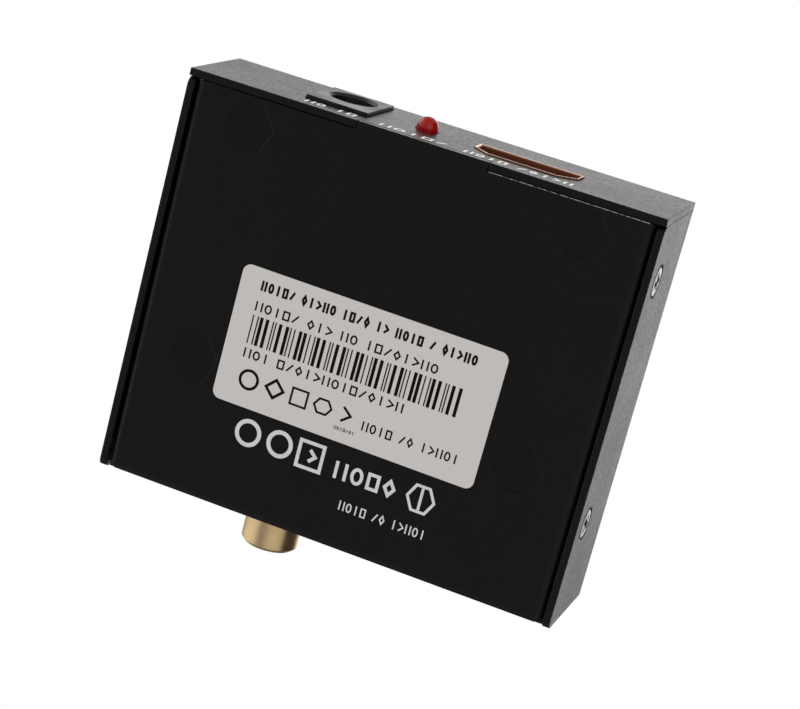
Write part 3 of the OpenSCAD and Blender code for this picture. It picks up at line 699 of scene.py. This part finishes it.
@dataclass(frozen=True)
class TintedEpoxy(Finish):
    """Epoxy cast with a red dye and a little diffuser: part of the light passes through it and
    bends, and the rest scatters in it and comes out red.

    Attributes:
        ior: Index of refraction.
        clear: Share of the light that passes straight through.
        cloudy: Share of the rest that scatters inside.
        travel: How far red, green and blue travel before they scatter, in millimetres.
    """

    ior: float = 1.52
    clear: float = 0.62
    cloudy: float = 0.6
    travel: tuple[float, float, float] = (1.0, 0.15, 0.1)

    def dress(self, tree: Tree) -> Inputs:
        """Partial transmission, with the faint waviness of a cast surface."""
        wave = {"Height": self.noise(tree, self.grain), "Distance": self.relief * MM}
        return {"Transmission Weight": self.clear, "Subsurface Weight": self.cloudy,
                "Subsurface Radius": self.travel, "Subsurface Scale": MM, "IOR": self.ior,
                "Normal": add_node(tree, "Bump", wave)}


@dataclass(frozen=True)
class Laminate(Finish):
    """Solder resist over copper tracks: the tracks run in straight lanes and show as a lighter
    green.

    Attributes:
        track: Colour over copper.
        lane: Distance between lanes, in millimetres.
        length: Length of a track, in lanes.
        gap: Width of the gap between tracks, in lanes.
    """

    track: str = "1f7a45"
    lane: float = 1.27
    length: float = 9.0
    gap: float = 0.12

    def dress(self, tree: Tree) -> Inputs:
        """Lanes of tracks, cut into lengths by cells.

        Args:
            tree: The node tree.

        Returns:
            The shader's inputs.
        """
        black, white = (0, 0, 0, 1), (1, 1, 1, 1)
        cells = add_node(tree, "TexBrick", {
            "Vector": add_node(tree, "TexCoord").outputs["Object"], "Scale": 1 / (self.lane * MM),
            "Color1": white, "Color2": black, "Mortar": black, "Mortar Size": self.gap,
            "Brick Width": self.length, "Row Height": 0.5})
        colours = {0: cells, 6: linear(self.colour), 7: linear(self.track)}
        return {"Base Color": add_node(tree, "Mix", colours, **COLOURS),
                **self.surface(tree, cells)}


POWDER_COAT = PowderCoat("powder coated steel", "060605", 0.38, grain=0.45, relief=0.05, edge=0.4)
NICKEL = Plating("nickel plated steel", "aaa8a2", 0.28, relief=0.002, lines=Axis.Z, edge=0.08)
# Painted shade: the cross recess of the side screws is coloured near black below the head's face
SCREW_NICKEL = PlatingWithPaintedShade("nickel plated screw steel", "a2a09a", 0.28, relief=0.002, edge=0.05,
                           lines=Axis.Z, inside="1a1918", deep=Axis.X, rim=33.96)
SPRING_NICKEL = Plating("nickel plated spring bronze", "c2beb4", 0.28, relief=0.001, edge=0.04)
GOLD = Plating("gold plated turned brass", "e6c897", 0.32, relief=0.003, edge=0.08,
               anisotropy=0.75)
# Painted shade: deeper in than the sockets' mouths the gold is coloured brown
SHELL_GOLD = PlatingWithPaintedShade("gold plated drawn brass", "f2d2ba", 0.3, relief=0.001, edge=0.04)
TIN = Plating("tinned copper", "b9b9ba", 0.34, relief=0.001, edge=0.05)
ZINC = Split("zinc plated steel, painted outside", "a3a6a5", 0.35, metallic=1.0, grain=0.35,
             relief=0.03, shine=0.2, height=0.9, under="060605", under_roughness=0.38)
LABEL_FILM = Finish("matt polyester label film", "cdc8c5", 0.55, grain=0.08, relief=0.0015,
                    edge=0.05, tones=(0.96, 1.03))
WHITE_INK = Finish("white screen ink", "f2f1ee", 0.5, grain=0.1, relief=0.003, edge=0.02)
GREY_INK = Finish("thin white screen ink", "d2d3d6", 0.5, grain=0.1, relief=0.003, edge=0.02)
BLACK_INK = Finish("black ribbon ink", "060606", 0.5, grain=0.08, relief=0.001, edge=0.01,
                   shine=0.1)
BLACK_MOULDING = Finish("moulded black polyester", "121211", 0.4, relief=0.02, edge=0.05)
WHITE_MOULDING = Finish("moulded white polyester", "dedbd2", 0.42, grain=0.15)
BROWN_MOULDING = Finish("moulded dark liquid crystal polymer", "1c1210", 0.42, grain=0.12,
                        relief=0.003, edge=0.05)
LAMP_EPOXY = TintedEpoxy("red tinted epoxy", "dc1412", 0.04, grain=1.2)
BOARD_RESIST = Laminate("green solder resist on glass laminate", "0d4a2a", 0.3, relief=0.02,
                        edge=0.05)
CHIP_EPOXY = Finish("moulded black chip epoxy", "171718", 0.55, grain=0.06, edge=0.06)
CAN_ALUMINIUM = Plating("drawn aluminium can", "bfc0c2", 0.3, relief=0.001, lines=Axis.Z,
                        edge=0.2)
FERRITE = Finish("pressed ferrite", "3a3a3d", 0.6, grain=0.12, relief=0.01)
CERAMIC = Finish("fired ceramic", "8a6a46", 0.45, grain=0.1, relief=0.003, edge=0.05)


class CarriedNodes:
    """The case, the board and the socket parts, which keep their solids and get their finish."""

    finishes: dict[Finish, tuple[str, ...]] = {
        POWDER_COAT: ("cover", "base"),
        NICKEL: ("case_screws", "board_screws", "power_jack_pin", "stereo_nose"),
        SPRING_NICKEL: ("power_jack_spring", "stereo_springs"),
        ZINC: ("standoffs",),
        LABEL_FILM: ("rating_label",),
        SHELL_GOLD: ("video_in_shell", "video_out_shell"),
        GOLD: ("video_in_contacts", "video_out_contacts", "phono_barrel", "phono_contact"),
        BROWN_MOULDING: ("video_in_insulator", "video_out_insulator"),
        BLACK_MOULDING: ("power_jack_housing", "phono_housing", "stereo_housing"),
        WHITE_MOULDING: ("phono_insulator",),
        LAMP_EPOXY: ("lamp_lens",),
        TIN: ("lamp_leads", "crystal_can"),
        BOARD_RESIST: ("circuit_board",),
        CHIP_EPOXY: ("receiver_chip", "audio_chip", "regulator"),
        CAN_ALUMINIUM: ("smoothing_capacitors",),
        FERRITE: ("power_inductor",),
        CERAMIC: ("chip_components",),
    }

    def build(self) -> None:
        """Puts each node's finish into its material slots."""
        for finish, names in self.finishes.items():
            for name in names:
                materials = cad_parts[name].data.materials
                materials.clear()
                materials.append(finish.build())
                LOG.info("%s: %s", name, finish.name)


# Print


class Mark(Enum):
    """Plain shapes that stand where the object has print."""

    BAR = "bar"
    RING = "ring"
    BOX = "box"
    DIAMOND = "diamond"
    SLASH = "slash"
    CHEVRON = "chevron"
    PAIR = "pair"
    HEXAGON = "hexagon"


class Cell(NamedTuple):
    """One shape of the print: its left side, foot, width, height and stroke, in millimetres."""

    mark: Mark
    left: float
    foot: float
    width: float
    height: float
    stroke: float

    def cells(self) -> list["Cell"]:
        """The shape itself, so that a shape is drawn as a row is."""
        return [self]


@dataclass(frozen=True)
class Row:
    """A row of print in groups of shapes, in millimetres.

    Attributes:
        left: Left end of the row.
        right: Right end of the row.
        foot: Foot of the row.
        height: Height of the shapes.
        weight: Width of the stroke as a share of the height.
        words: Number of shapes in each group.
        order: The shapes, used over and over.
        fill: Width of a shape as a share of the pitch.
        gap: Gap between groups as a share of the pitch.
    """

    left: float
    right: float
    foot: float
    height: float
    weight: float
    words: tuple[int, ...]
    order: tuple[Mark, ...] = (Mark.PAIR, Mark.RING, Mark.BAR, Mark.BOX, Mark.SLASH, Mark.DIAMOND,
                               Mark.BAR, Mark.CHEVRON)
    fill: float = 0.78
    gap: float = 0.7

    def cells(self) -> list[Cell]:
        """Spreads the shapes evenly.

        Returns:
            The shapes, from left to right.
        """
        pitch = (self.right - self.left) / (sum(self.words) + self.gap * (len(self.words) - 1))
        group = np.repeat(np.arange(len(self.words)), self.words)
        lefts = self.left + pitch * (np.arange(len(group)) + self.gap * group)
        return [Cell(self.order[n % len(self.order)], left, self.foot, self.fill * pitch,
                     self.height, self.weight * self.height) for n, left in enumerate(lefts)]


@dataclass(frozen=True)
class Stripes:
    """Upright stripes whose widths and gaps follow a fixed cycle, in millimetres.

    Before they are scaled to the row, stripe n is 1 plus 0.8 times the remainder of 5n plus 3n
    squared by 4 wide, and the gap after it is 1.2 plus 0.9 times the remainder of 7n plus 2 by 3.

    Attributes:
        left: Left end of the row.
        right: Right end of the row.
        foot: Foot of the stripes.
        height: Height of the stripes.
        count: Number of stripes.
    """

    left: float
    right: float
    foot: float
    height: float
    count: int

    def cells(self) -> list[Cell]:
        """Makes each stripe a bar as wide as its stroke.

        Returns:
            The bars, from left to right.
        """
        number = np.arange(self.count)
        widths = 1.0 + (number * 5 + number * number * 3) % 4 * 0.8
        gaps = 1.2 + (number * 7 + 2) % 3 * 0.9
        ends = np.cumsum(widths + gaps) - gaps
        scale = (self.right - self.left) / ends[-1]
        lefts = self.left + (ends - widths) * scale
        return [Cell(Mark.BAR, left, self.foot, width, self.height, width)
                for left, width in zip(lefts, widths * scale)]


Printed = dict[str, tuple[Cell | Row | Stripes, ...]]


@dataclass(frozen=True)
class Ink:
    """A film of ink on one flat face.

    Attributes:
        face: The face: across is the way it reads and up the way its shapes stand.
        finish: The ink.
        slot: The record's material slot of what it lies on. It is not used.
        thickness: Thickness of the film, in millimetres.
        around: Number of points in a ring.
    """

    face: Place
    finish: Finish
    slot: str
    thickness: float = 0.015
    around: int = 32

    def mark(self, cell: Cell) -> list[Shell]:
        """Draws one shape, centred in its cell and within it by half a stroke.

        Args:
            cell: The shape and its cell.

        Returns:
            The shape's bands, in local coordinates.
        """
        w, h = (cell.width - cell.stroke) / 2, (cell.height - cell.stroke) / 2
        tall = cell.height / 2
        last = 360 - 360 / self.around
        paths: dict[Mark, tuple[list[Any], bool]] = {
            Mark.BAR: ([[[0, -tall], [0, tall]]], False),
            Mark.RING: ([arc((0, 0), 1.0, 0, last, self.around) * (w, h)], True),
            Mark.BOX: ([[[-w, -h], [w, -h], [w, h], [-w, h]]], True),
            Mark.DIAMOND: ([[[0, -h], [w, 0], [0, h], [-w, 0]]], True),
            Mark.SLASH: ([[[-w, -h], [w, h]]], False),
            Mark.CHEVRON: ([[[-w, h], [w, 0], [-w, -h]]], False),
            Mark.PAIR: ([[[x, -tall], [x, tall]] for x in (-w, w)], False),
            Mark.HEXAGON: ([arc((0, 0), 1.0, 0, 300, 6) * (w, h)], True),
        }
        lines, closed = paths[cell.mark]
        middle = (cell.left + cell.width / 2, cell.foot + cell.height / 2)
        return [band(np.add(line, middle), cell.stroke, self.thickness, closed) for line in lines]

    def draw(self, pieces: Printed) -> None:
        """Draws shapes, rows and stripes on the face.

        Args:
            pieces: By the name of a piece, what it is made of.
        """
        for name, parts in pieces.items():
            bands = [shell for part in parts for cell in part.cells() for shell in self.mark(cell)]
            add_piece(name, self.face.set_down(joined(bands)), self.finish.build())


@dataclass(frozen=True)
class Print:
    """Plain shapes on the label, on the plate and on the input panel, where the print is.

    The label's and the plate's are placed from the label's middle, and the panel's from the
    middle of its foot. The label's lie a little askew, as the label does.

    Attributes:
        tilt: Turn of the label's print, in degrees.
    """

    tilt: float = 0.5

    def on_label(self) -> Printed:
        """Rows, stripes and shapes on the label."""
        return {
            "label_rows": (
                Row(-16.35, 15.65, 6.75, 1.45, 0.22, (5, 5, 4, 2, 4, 1, 5)),
                Row(-16.45, 10.85, 3.85, 1.35, 0.18, (5, 3, 2, 8)),
                Row(-16.45, 7.65, -2.9, 1.35, 0.18, (3, 14)),
                Row(2.45, 16.85, -7.1, 1.35, 0.17, (4, 2, 5))),
            "label_stripes": (Stripes(-16.45, 14.55, -0.9, 4.1, 44),),
            "label_shapes": (
                Cell(Mark.RING, -16.25, -7.3, 3.0, 3.0, 0.4),
                Cell(Mark.DIAMOND, -12.35, -7.3, 3.0, 3.0, 0.4),
                Cell(Mark.BOX, -8.45, -7.1, 2.6, 2.6, 0.3),
                Cell(Mark.HEXAGON, -5.05, -7.1, 2.9, 2.6, 0.3),
                Cell(Mark.CHEVRON, -0.85, -7.0, 1.6, 2.4, 0.35),
                Row(-1.35, 1.75, -8.2, 0.5, 0.2, (7,))),
        }

    def on_plate(self) -> Printed:
        """A row of large shapes and a small row on the bottom plate."""
        return {
            "plate_shapes": (
                Cell(Mark.RING, -15.05, -15.0, 3.9, 4.0, 0.6),
                Cell(Mark.RING, -10.25, -15.0, 3.9, 4.0, 0.6),
                Cell(Mark.BOX, -5.65, -15.2, 4.0, 4.2, 0.5),
                Cell(Mark.CHEVRON, -4.05, -14.2, 1.4, 2.2, 0.5),
                Cell(Mark.HEXAGON, 10.75, -15.9, 4.3, 4.6, 0.4),
                Cell(Mark.BAR, 12.45, -15.2, 0.9, 3.2, 0.4)),
            "plate_rows": (
                Row(0.15, 9.75, -14.9, 2.5, 0.19, (4,),
                    (Mark.PAIR, Mark.RING, Mark.BOX, Mark.DIAMOND)),
                Row(2.05, 15.05, -19.0, 1.35, 0.15, (4, 2, 5))),
        }

    def on_panel(self) -> Printed:
        """Short rows under the power jack, the lamp and the video socket on the input panel."""
        return {
            "panel_row_jack": (Row(-18.0, -10.3, 1.75, 1.75, 0.2, (2, 2)),),
            "panel_row_lamp": (Row(-7.1, 2.95, 1.75, 1.75, 0.2, (5,)),),
            "panel_row_video": (Row(5.0, 20.6, 1.75, 1.75, 0.2, (4, 5)),),
        }

    def build(self) -> None:
        """Draws every piece of print."""
        label_low, label_high = (Vector(corner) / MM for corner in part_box("rating_label"))
        x, y, _ = (label_low + label_high) / 2
        foot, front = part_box("base")[0].z / MM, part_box("cover")[0].y / MM
        c, s = math.cos(math.radians(self.tilt)), math.sin(math.radians(self.tilt))
        label = Place((x, y, label_low.z), (c, s, 0), (s, -c, 0), (0, 0, -1))
        plate = Place((x, y, foot), (1, 0, 0), (0, -1, 0), (0, 0, -1))
        panel = Place((0.0, front, foot), (1, 0, 0), (0, 0, 1), (0, -1, 0))
        Ink(label, BLACK_INK, "label_film").draw(self.on_label())
        Ink(plate, GREY_INK, "painted_steel").draw(self.on_plate())
        Ink(panel, WHITE_INK, "painted_steel").draw(self.on_panel())


@dataclass(frozen=True)
class SideScrews:
    """Countersunk cross-recess screws, with their real thread, in millimetres.

    Attributes:
        head_d: Diameter of the head.
        dome: Height of the head's crown.
        rim: Height of the straight rim of the head.
        bevel: Width of the rounded edge of the head.
        thread_d: Diameter over the thread.
        crest: Depth of the thread.
        pitch: Pitch of the thread.
        point: Width of the screw's tip as a share of its thread.
        length: Length over the countersunk head.
        arm: Reach of the recess from the axis.
        arm_w: Half the width of a wing at the face.
        depth: Depth of the recess.
        turns: Turn of each screw's recess in degrees.
        core: Radius of the smallest ring of the crown.
        around: Number of points in a ring.
        rings: Number of rings in the crown and in the thread.
    """

    head_d: float = 4.0
    dome: float = 0.12
    rim: float = 0.5
    bevel: float = 0.08
    thread_d: float = 3.0
    crest: float = 0.3
    pitch: float = 0.5
    point: float = 0.8
    length: float = 4.0
    arm: float = 1.3
    arm_w: float = 0.44
    depth: float = 1.1
    turns: tuple[float, ...] = (18.0, 62.0, 30.0, 75.0)
    core: float = 0.02
    around: int = 96
    rings: int = 60

    def recess(self, x: np.ndarray, y: np.ndarray) -> np.ndarray:
        """Depth of the cross recess.

        A wing is deepest on the axis, falls to 0.55 of its depth at its reach, and rises to the
        face over the last quarter of its reach. Its flanks slope in from the face over a third of
        its half width, as those of a tapered driver do.

        Args:
            x: Places along the first wing.
            y: Places along the second wing.

        Returns:
            The depth at each place, zero outside the recess.
        """
        near = np.minimum(np.abs(x), np.abs(y))
        far = np.maximum(np.abs(x), np.abs(y))
        flank = np.clip((self.arm_w - near) / (self.arm_w / 3), 0, 1)
        rise = np.clip((self.arm - far) / (0.25 * self.arm), 0, 1)
        slope = 0.55 + 0.45 * np.clip(1 - far / self.arm, 0, 1)
        return self.depth * np.minimum(flank, rise) * slope

    def shell(self) -> Shell:
        """One screw along the local outward axis, with its head's edge at height zero.

        The crown is a grid in radius and angle, whose height is the dome's less the recess. Under
        it the radius follows the rim, the countersink and a ridge that winds once in each pitch.

        Returns:
            The closed shell in local coordinates.
        """
        angle = np.arange(self.around) * TURN / self.around
        head_r, thread_r = self.head_d / 2, self.thread_d / 2
        sphere_r = (head_r ** 2 + self.dome ** 2) / (2 * self.dome)
        radius = np.linspace(head_r - self.bevel, self.core, self.rings)[:, None]
        x, y = radius * np.cos(angle), radius * np.sin(angle)
        crown = np.sqrt(sphere_r ** 2 - x ** 2 - y ** 2) - sphere_r + self.dome - self.recess(x, y)
        neck = -self.rim - (head_r - thread_r)
        height = np.linspace(-self.length, neck, self.rings)[:, None]
        wave = np.abs((height / self.pitch - angle / TURN) % 1 * 2 - 1)
        ridge = thread_r - self.crest * wave * np.clip((height[-1] - height) / self.pitch, 0, 1)
        taper = self.point + (1 - self.point) * (height + self.length) / self.pitch
        return ring_shell(np.concatenate([
            wound(ridge * np.clip(taper, self.point, 1), angle, height),
            wound(head_r, angle, -self.rim), wound(head_r, angle, -self.bevel),
            wound(head_r - 0.03, angle, -0.02), wound(radius, angle, crown)]))

    def build(self) -> None:
        """Sets the four screws where the solid ones are."""
        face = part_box("cover")[1].x / MM
        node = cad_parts["case_screws"]
        points = np.array([v.co[:] for v in node.data.vertices]) / MM
        shells = []
        for turn, side, front in zip(self.turns, (1, 1, -1, -1), (True, False, True, False)):
            ours = points[(np.sign(points[:, 0]) == side) & ((points[:, 1] < 0) == front)]
            _, y, z = (ours.min(axis=0) + ours.max(axis=0)) / 2
            c, s = math.cos(math.radians(turn)), math.sin(math.radians(turn))
            place = Place((side * face, y, z), (0, c * side, s), (0, -s * side, c), (side, 0, 0))
            shells.append(place.set_down(self.shell()))
        screws = add_piece("side_screws", joined(shells), SCREW_NICKEL.build(),
                           crease=30)
        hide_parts("case_screws")


@dataclass(frozen=True)
class Lamp:
    """Round-nosed lamp: its lens and the lead frame cast into it, in millimetres.

    Attributes:
        lens_d: Diameter of the lens.
        rim_len: Length of the rim at its foot.
        soft: Radius of the rim's edges.
        core: Radius of the smallest ring round the axis.
        cup_d: Diameter of the reflector cup's mouth.
        cup_wall: Thickness of the cup's wall at its mouth.
        cup_depth: Depth of the cup.
        cup_floor: Thickness of its floor.
        cup_flat: Radius of its flat floor.
        cup_up: Height of the cup's mouth over the lens's foot.
        post_up: Height of the posts' feet over the lens's foot.
        post_w: Width of a post.
        post_x: Sides of the thinner post.
        post_short: How far it ends under the cup's mouth.
        chip: Side of the light-giving chip.
        chip_h: Height of the chip.
    """

    lens_d: float = 3.0
    rim_len: float = 1.0
    soft: float = 0.15
    core: float = 0.05
    cup_d: float = 1.3
    cup_wall: float = 0.08
    cup_depth: float = 0.45
    cup_floor: float = 0.25
    cup_flat: float = 0.3
    cup_up: float = 2.9
    post_up: float = 0.2
    post_w: float = 0.5
    post_x: tuple[float, float] = (1.0, 1.25)
    post_short: float = 0.1
    chip: float = 0.3
    chip_h: float = 0.2

    def build(self) -> None:
        """Builds the lens and its lead frame at the solid lens's foot, looking out."""
        low, high = (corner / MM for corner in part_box("lamp_lens"))
        middle = (low + high) / 2
        place = Place((middle.x, high.y, middle.z), (1, 0, 0), (0, 0, 1), (0, -1, 0))
        self.build_lens(place, high.y - low.y, (high.x - low.x) / 2)
        self.build_frame(place)

    def build_lens(self, place: Place, length: float, rim_r: float) -> None:
        """The lens: a rim with rounded edges, a straight body and a half ball, turned as one.

        Args:
            place: Where it stands.
            length: Its length.
            rim_r: Radius of its rim.
        """
        radius, soft = self.lens_d / 2, self.soft
        profile = np.vstack([
            [[self.core, 0.0]], arc((rim_r - soft, soft), soft, -90, 0, 6),
            arc((rim_r - soft, self.rim_len - soft), soft, 0, 90, 6),
            [[radius, self.rim_len], [radius, length - radius]],
            arc((0, length - radius), radius, 3, 89, 40)])
        lens = add_piece("lamp_body", place.set_down(turned(profile, 72)), LAMP_EPOXY.build())
        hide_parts("lamp_lens")

    def build_frame(self, place: Place) -> None:
        """The lead frame: a cup on a wide post, a thinner post beside it and the chip.

        Args:
            place: Where it stands.
        """
        cup_r, inner = self.cup_d / 2, self.cup_up - self.cup_depth
        foot, half, chip = inner - self.cup_floor, self.post_w / 2, self.chip / 2
        cup = np.array([[self.core, foot], [cup_r, foot], [cup_r, self.cup_up],
                        [cup_r - self.cup_wall, self.cup_up], [self.cup_flat, inner],
                        [self.core, inner]])
        left, right = self.post_x
        metal = joined([
            turned(cup, 40), block((-half, -half, self.post_up), (half, half, foot)),
            block((left, -half, self.post_up), (right, half, self.cup_up - self.post_short)),
            block((-chip, -chip, inner), (chip, chip, inner + self.chip_h))])
        add_piece("lamp_frame", place.set_down(metal), TIN.build())


# Stage


@dataclass(frozen=True)
class PhotoCamera:
    """Camera at the photograph's viewing angle: below the input panel's right corner, rolled over.

    Attributes:
        azimuth: Angle round the object, in degrees from straight in front of the input panel.
        elevation: Angle over the horizon, in degrees.
        roll: Turn about the line of sight, in degrees.
        distance: From the camera to the point that it looks at, in millimetres.
        aim: That point, in millimetres.
        focal: Focal length in pixels of the photograph.
        width: Width of the photograph in pixels.
        sensor: Width of the sensor in millimetres.
        clip: Nearest and farthest that it sees, in metres.
    """

    azimuth: float = 42.571
    elevation: float = -68.569
    roll: float = -59.532
    distance: float = 330.47
    aim: tuple[float, float, float] = (1.957, 2.015, 9.250)
    focal: float = 2398.2
    width: float = 800.0
    sensor: float = 36.0
    clip: tuple[float, float] = (0.01, 10.0)

    def build(self) -> None:
        """Adds the camera and makes it the scene's own."""
        azimuth, elevation, roll = np.radians([self.azimuth, self.elevation, self.roll]).tolist()
        away = Vector((math.sin(azimuth) * math.cos(elevation),
                       -math.cos(azimuth) * math.cos(elevation), math.sin(elevation)))
        side = (-away).cross(Vector((0, 0, 1))).normalized()
        up = side.cross(-away) * math.cos(roll) + side * math.sin(roll)
        data = bpy.data.cameras.new("photo_camera")
        data.sensor_width = self.sensor
        data.sensor_fit = "HORIZONTAL"
        data.lens = self.sensor * self.focal / self.width
        data.clip_start, data.clip_end = self.clip
        camera = put("photo_camera", data)
        turn = Matrix(((-away).cross(up), up, away)).transposed().to_4x4()
        middle = (Vector(self.aim) + away * self.distance) * MM
        camera.matrix_world = Matrix.Translation(middle) @ turn
        bpy.context.scene.camera = camera


@dataclass(frozen=True)
class SoftBox:
    """A square soft light.

    Attributes:
        name: Its name.
        toward: Direction from the object to the light.
        distance: Its distance from the object, in metres.
        side: Length of its sides, in metres.
        watts: Its power.
    """

    name: str
    toward: tuple[float, float, float]
    distance: float
    side: float
    watts: float

    def build(self) -> None:
        """Adds the light, turned to face the object."""
        data = bpy.data.lights.new(self.name, "AREA")
        data.shape = "SQUARE"
        data.size = self.side
        data.energy = self.watts
        light = put(self.name, data)
        toward = Vector(self.toward).normalized()
        light.location = toward * self.distance
        light.rotation_euler = toward.to_track_quat("Z", "Y").to_euler()
        light.visible_camera = False


@dataclass(frozen=True)
class Studio:
    """Plain soft light round the object, a white background and a pale floor.

    Attributes:
        boxes: The lamps.
        ambient: Level of the even light.
        cards: Angle round the case's long axis, in degrees, and level of the cards there.
        end_level: Level near that axis.
        end_from: How near the axis that level starts and fills in, as cosines.
        flag: Direction of the black flag.
        flag_cosines: Cosine of the angle from its middle at which it starts and is full.
        flag_level: Level of the flag.
        floor_reach: Radius of the floor, in metres.
        floor_gap: Distance of the floor under the object, in millimetres.
        floor_fade: Where the floor starts to fade and is white, in metres from the object.
        floor_colour: Colour of the floor.
    """

    boxes: tuple[SoftBox, ...] = (
        SoftBox("overhead", (-0.06, -0.04, 1.0), 0.35, 0.38, 0.37),
        SoftBox("over_left", (-0.85, -0.45, 0.25), 0.8, 0.50, 1.0),
    )
    ambient: float = 0.85
    cards: tuple[tuple[float, float], ...] = (
        (-180, 0.75), (-150, 0.75), (-133, 0.3), (-118, 0.7), (-100, 1.0), (-74, 0.98),
        (-60, 0.92), (-46, 0.8), (-36, 0.5), (-21, 0.32), (-9, 0.4), (4, 0.56), (15, 0.68),
        (30, 0.72), (44, 0.68), (55, 0.6), (68, 0.46), (80, 0.04), (140, 0.04), (150, 0.55),
        (158, 0.85), (180, 0.8))
    end_level: float = 0.45
    end_from: tuple[float, float] = (0.6, 0.9)
    flag: tuple[float, float, float] = (-0.1, 0.9, 0.42)
    flag_cosines: tuple[float, float] = (0.88, 0.94)
    flag_level: float = 0.03
    floor_reach: float = 1.5
    floor_gap: float = 0.1
    floor_fade: tuple[float, float] = (0.12, 0.5)
    floor_colour: str = "e9e9e8"

    def build(self) -> None:
        """Builds the world, the floor and the lamps, and sets the plain view transform."""
        bpy.context.scene.view_settings.view_transform = "Standard"
        self.build_world()
        self.build_floor()
        for box in self.boxes:
            box.build()

    def shine(self, tree: Tree) -> Node:
        """Light that polished and satin surfaces see: white, grey and black cards.

        They stand round the case's long axis. The angle of a direction is the arc tangent of its x
        over its negative z: zero straight down and a half turn straight up. Near the axis itself
        the cards give way to one even level, and a black flag stands high over the far end.

        Args:
            tree: The world's node tree.

        Returns:
            The level, from zero to one.
        """
        toward = add_node(tree, "TexCoord").outputs["Generated"]
        x, y, z = add_node(tree, "SeparateXYZ", [toward]).outputs
        down = add_node(tree, "Math", (z, -1.0), operation="MULTIPLY")
        angle = add_node(tree, "Math", (x, down), operation="ARCTAN2")
        share = add_node(tree, "Math", (angle, 1 / TURN, 0.5), operation="MULTIPLY_ADD")
        ramp = add_node(tree, "ValToRGB", [share])
        while len(ramp.color_ramp.elements) < len(self.cards):
            ramp.color_ramp.elements.new(1.0)
        for element, (degrees, level) in zip(ramp.color_ramp.elements, self.cards):
            element.position = degrees / 360 + 0.5
            element.color = (level, level, level, 1.0)
        off = add_node(tree, "Math", [y], operation="ABSOLUTE")
        end = add_node(tree, "MapRange", (off, *self.end_from, 0.0, 1.0), **SMOOTH)
        cards = add_node(tree, "Mix", {0: end, 2: ramp, 3: self.end_level}, **NUMBERS)
        flag = Vector(self.flag).normalized()
        near = add_node(tree, "VectorMath", (toward, flag), operation="DOT_PRODUCT")
        free = add_node(tree, "MapRange", (near, *self.flag_cosines, 1.0, self.flag_level),
                        **SMOOTH)
        return add_node(tree, "Math", (cards, free), operation="MULTIPLY")

    def build_world(self) -> None:
        """White to the camera, cards to what shines, and an even grey light elsewhere."""
        world = bpy.data.worlds.new("studio")
        bpy.context.scene.world = world
        tree = empty_tree(world)
        ray = add_node(tree, "LightPath").outputs
        glossy = add_node(tree, "Math", (ray["Is Glossy Ray"], ray["Is Transmission Ray"]),
                          operation="MAXIMUM")
        level = add_node(tree, "Mix", {0: glossy, 2: self.ambient, 3: self.shine(tree)}, **NUMBERS)
        level = add_node(tree, "Mix", {0: ray["Is Camera Ray"], 2: level, 3: 1.0}, **NUMBERS)
        light = add_node(tree, "Background", {"Color": (1, 1, 1, 1), "Strength": level})
        add_node(tree, "OutputWorld", {"Surface": light})

    def build_floor(self) -> None:
        """A round pale floor just under the object.

        It shows to the camera from above only, so that a view from below sees the underside, and
        it fades to white far from the object.
        """
        material = bpy.data.materials.new("pale floor")
        tree = empty_tree(material)
        ray = add_node(tree, "LightPath").outputs["Is Camera Ray"]
        under = add_node(tree, "NewGeometry").outputs["Backfacing"]
        front = add_node(tree, "Math", (1.0, under), operation="SUBTRACT")
        seen = add_node(tree, "Math", (ray, front), operation="MULTIPLY")
        place = add_node(tree, "TexCoord").outputs["Object"]
        away = add_node(tree, "VectorMath", [place], operation="LENGTH")
        fade = add_node(tree, "MapRange", (away, *self.floor_fade, 0.0, 1.0), **SMOOTH)
        paint = add_node(tree, "BsdfDiffuse", {"Color": linear(self.floor_colour)})
        white = add_node(tree, "Emission", {"Color": (1, 1, 1, 1), "Strength": 1.0})
        shown = add_node(tree, "MixShader", (fade, paint, white))
        clear = add_node(tree, "BsdfTransparent")
        add_node(tree, "OutputMaterial", [add_node(tree, "MixShader", (seen, clear, shown))])
        rim = arc((0, 0), self.floor_reach, 0, 355, 72)
        points = np.insert(rim, 2, -self.floor_gap * MM, axis=1)
        mesh = bpy.data.meshes.new("floor")
        mesh.from_pydata(points.tolist(), [], [list(range(len(rim)))])
        mesh.materials.append(material)
        put("floor", mesh)


def main() -> None:
    """Builds the camera, finishes, print, screws, lamp and stage, in that order."""
    logging.basicConfig(level=logging.INFO, format="%(message)s")
    for part in (PhotoCamera(), CarriedNodes(), Print(), SideScrews(), Lamp(), Studio()):
        part.build()


if __name__ == "__main__":
    main()
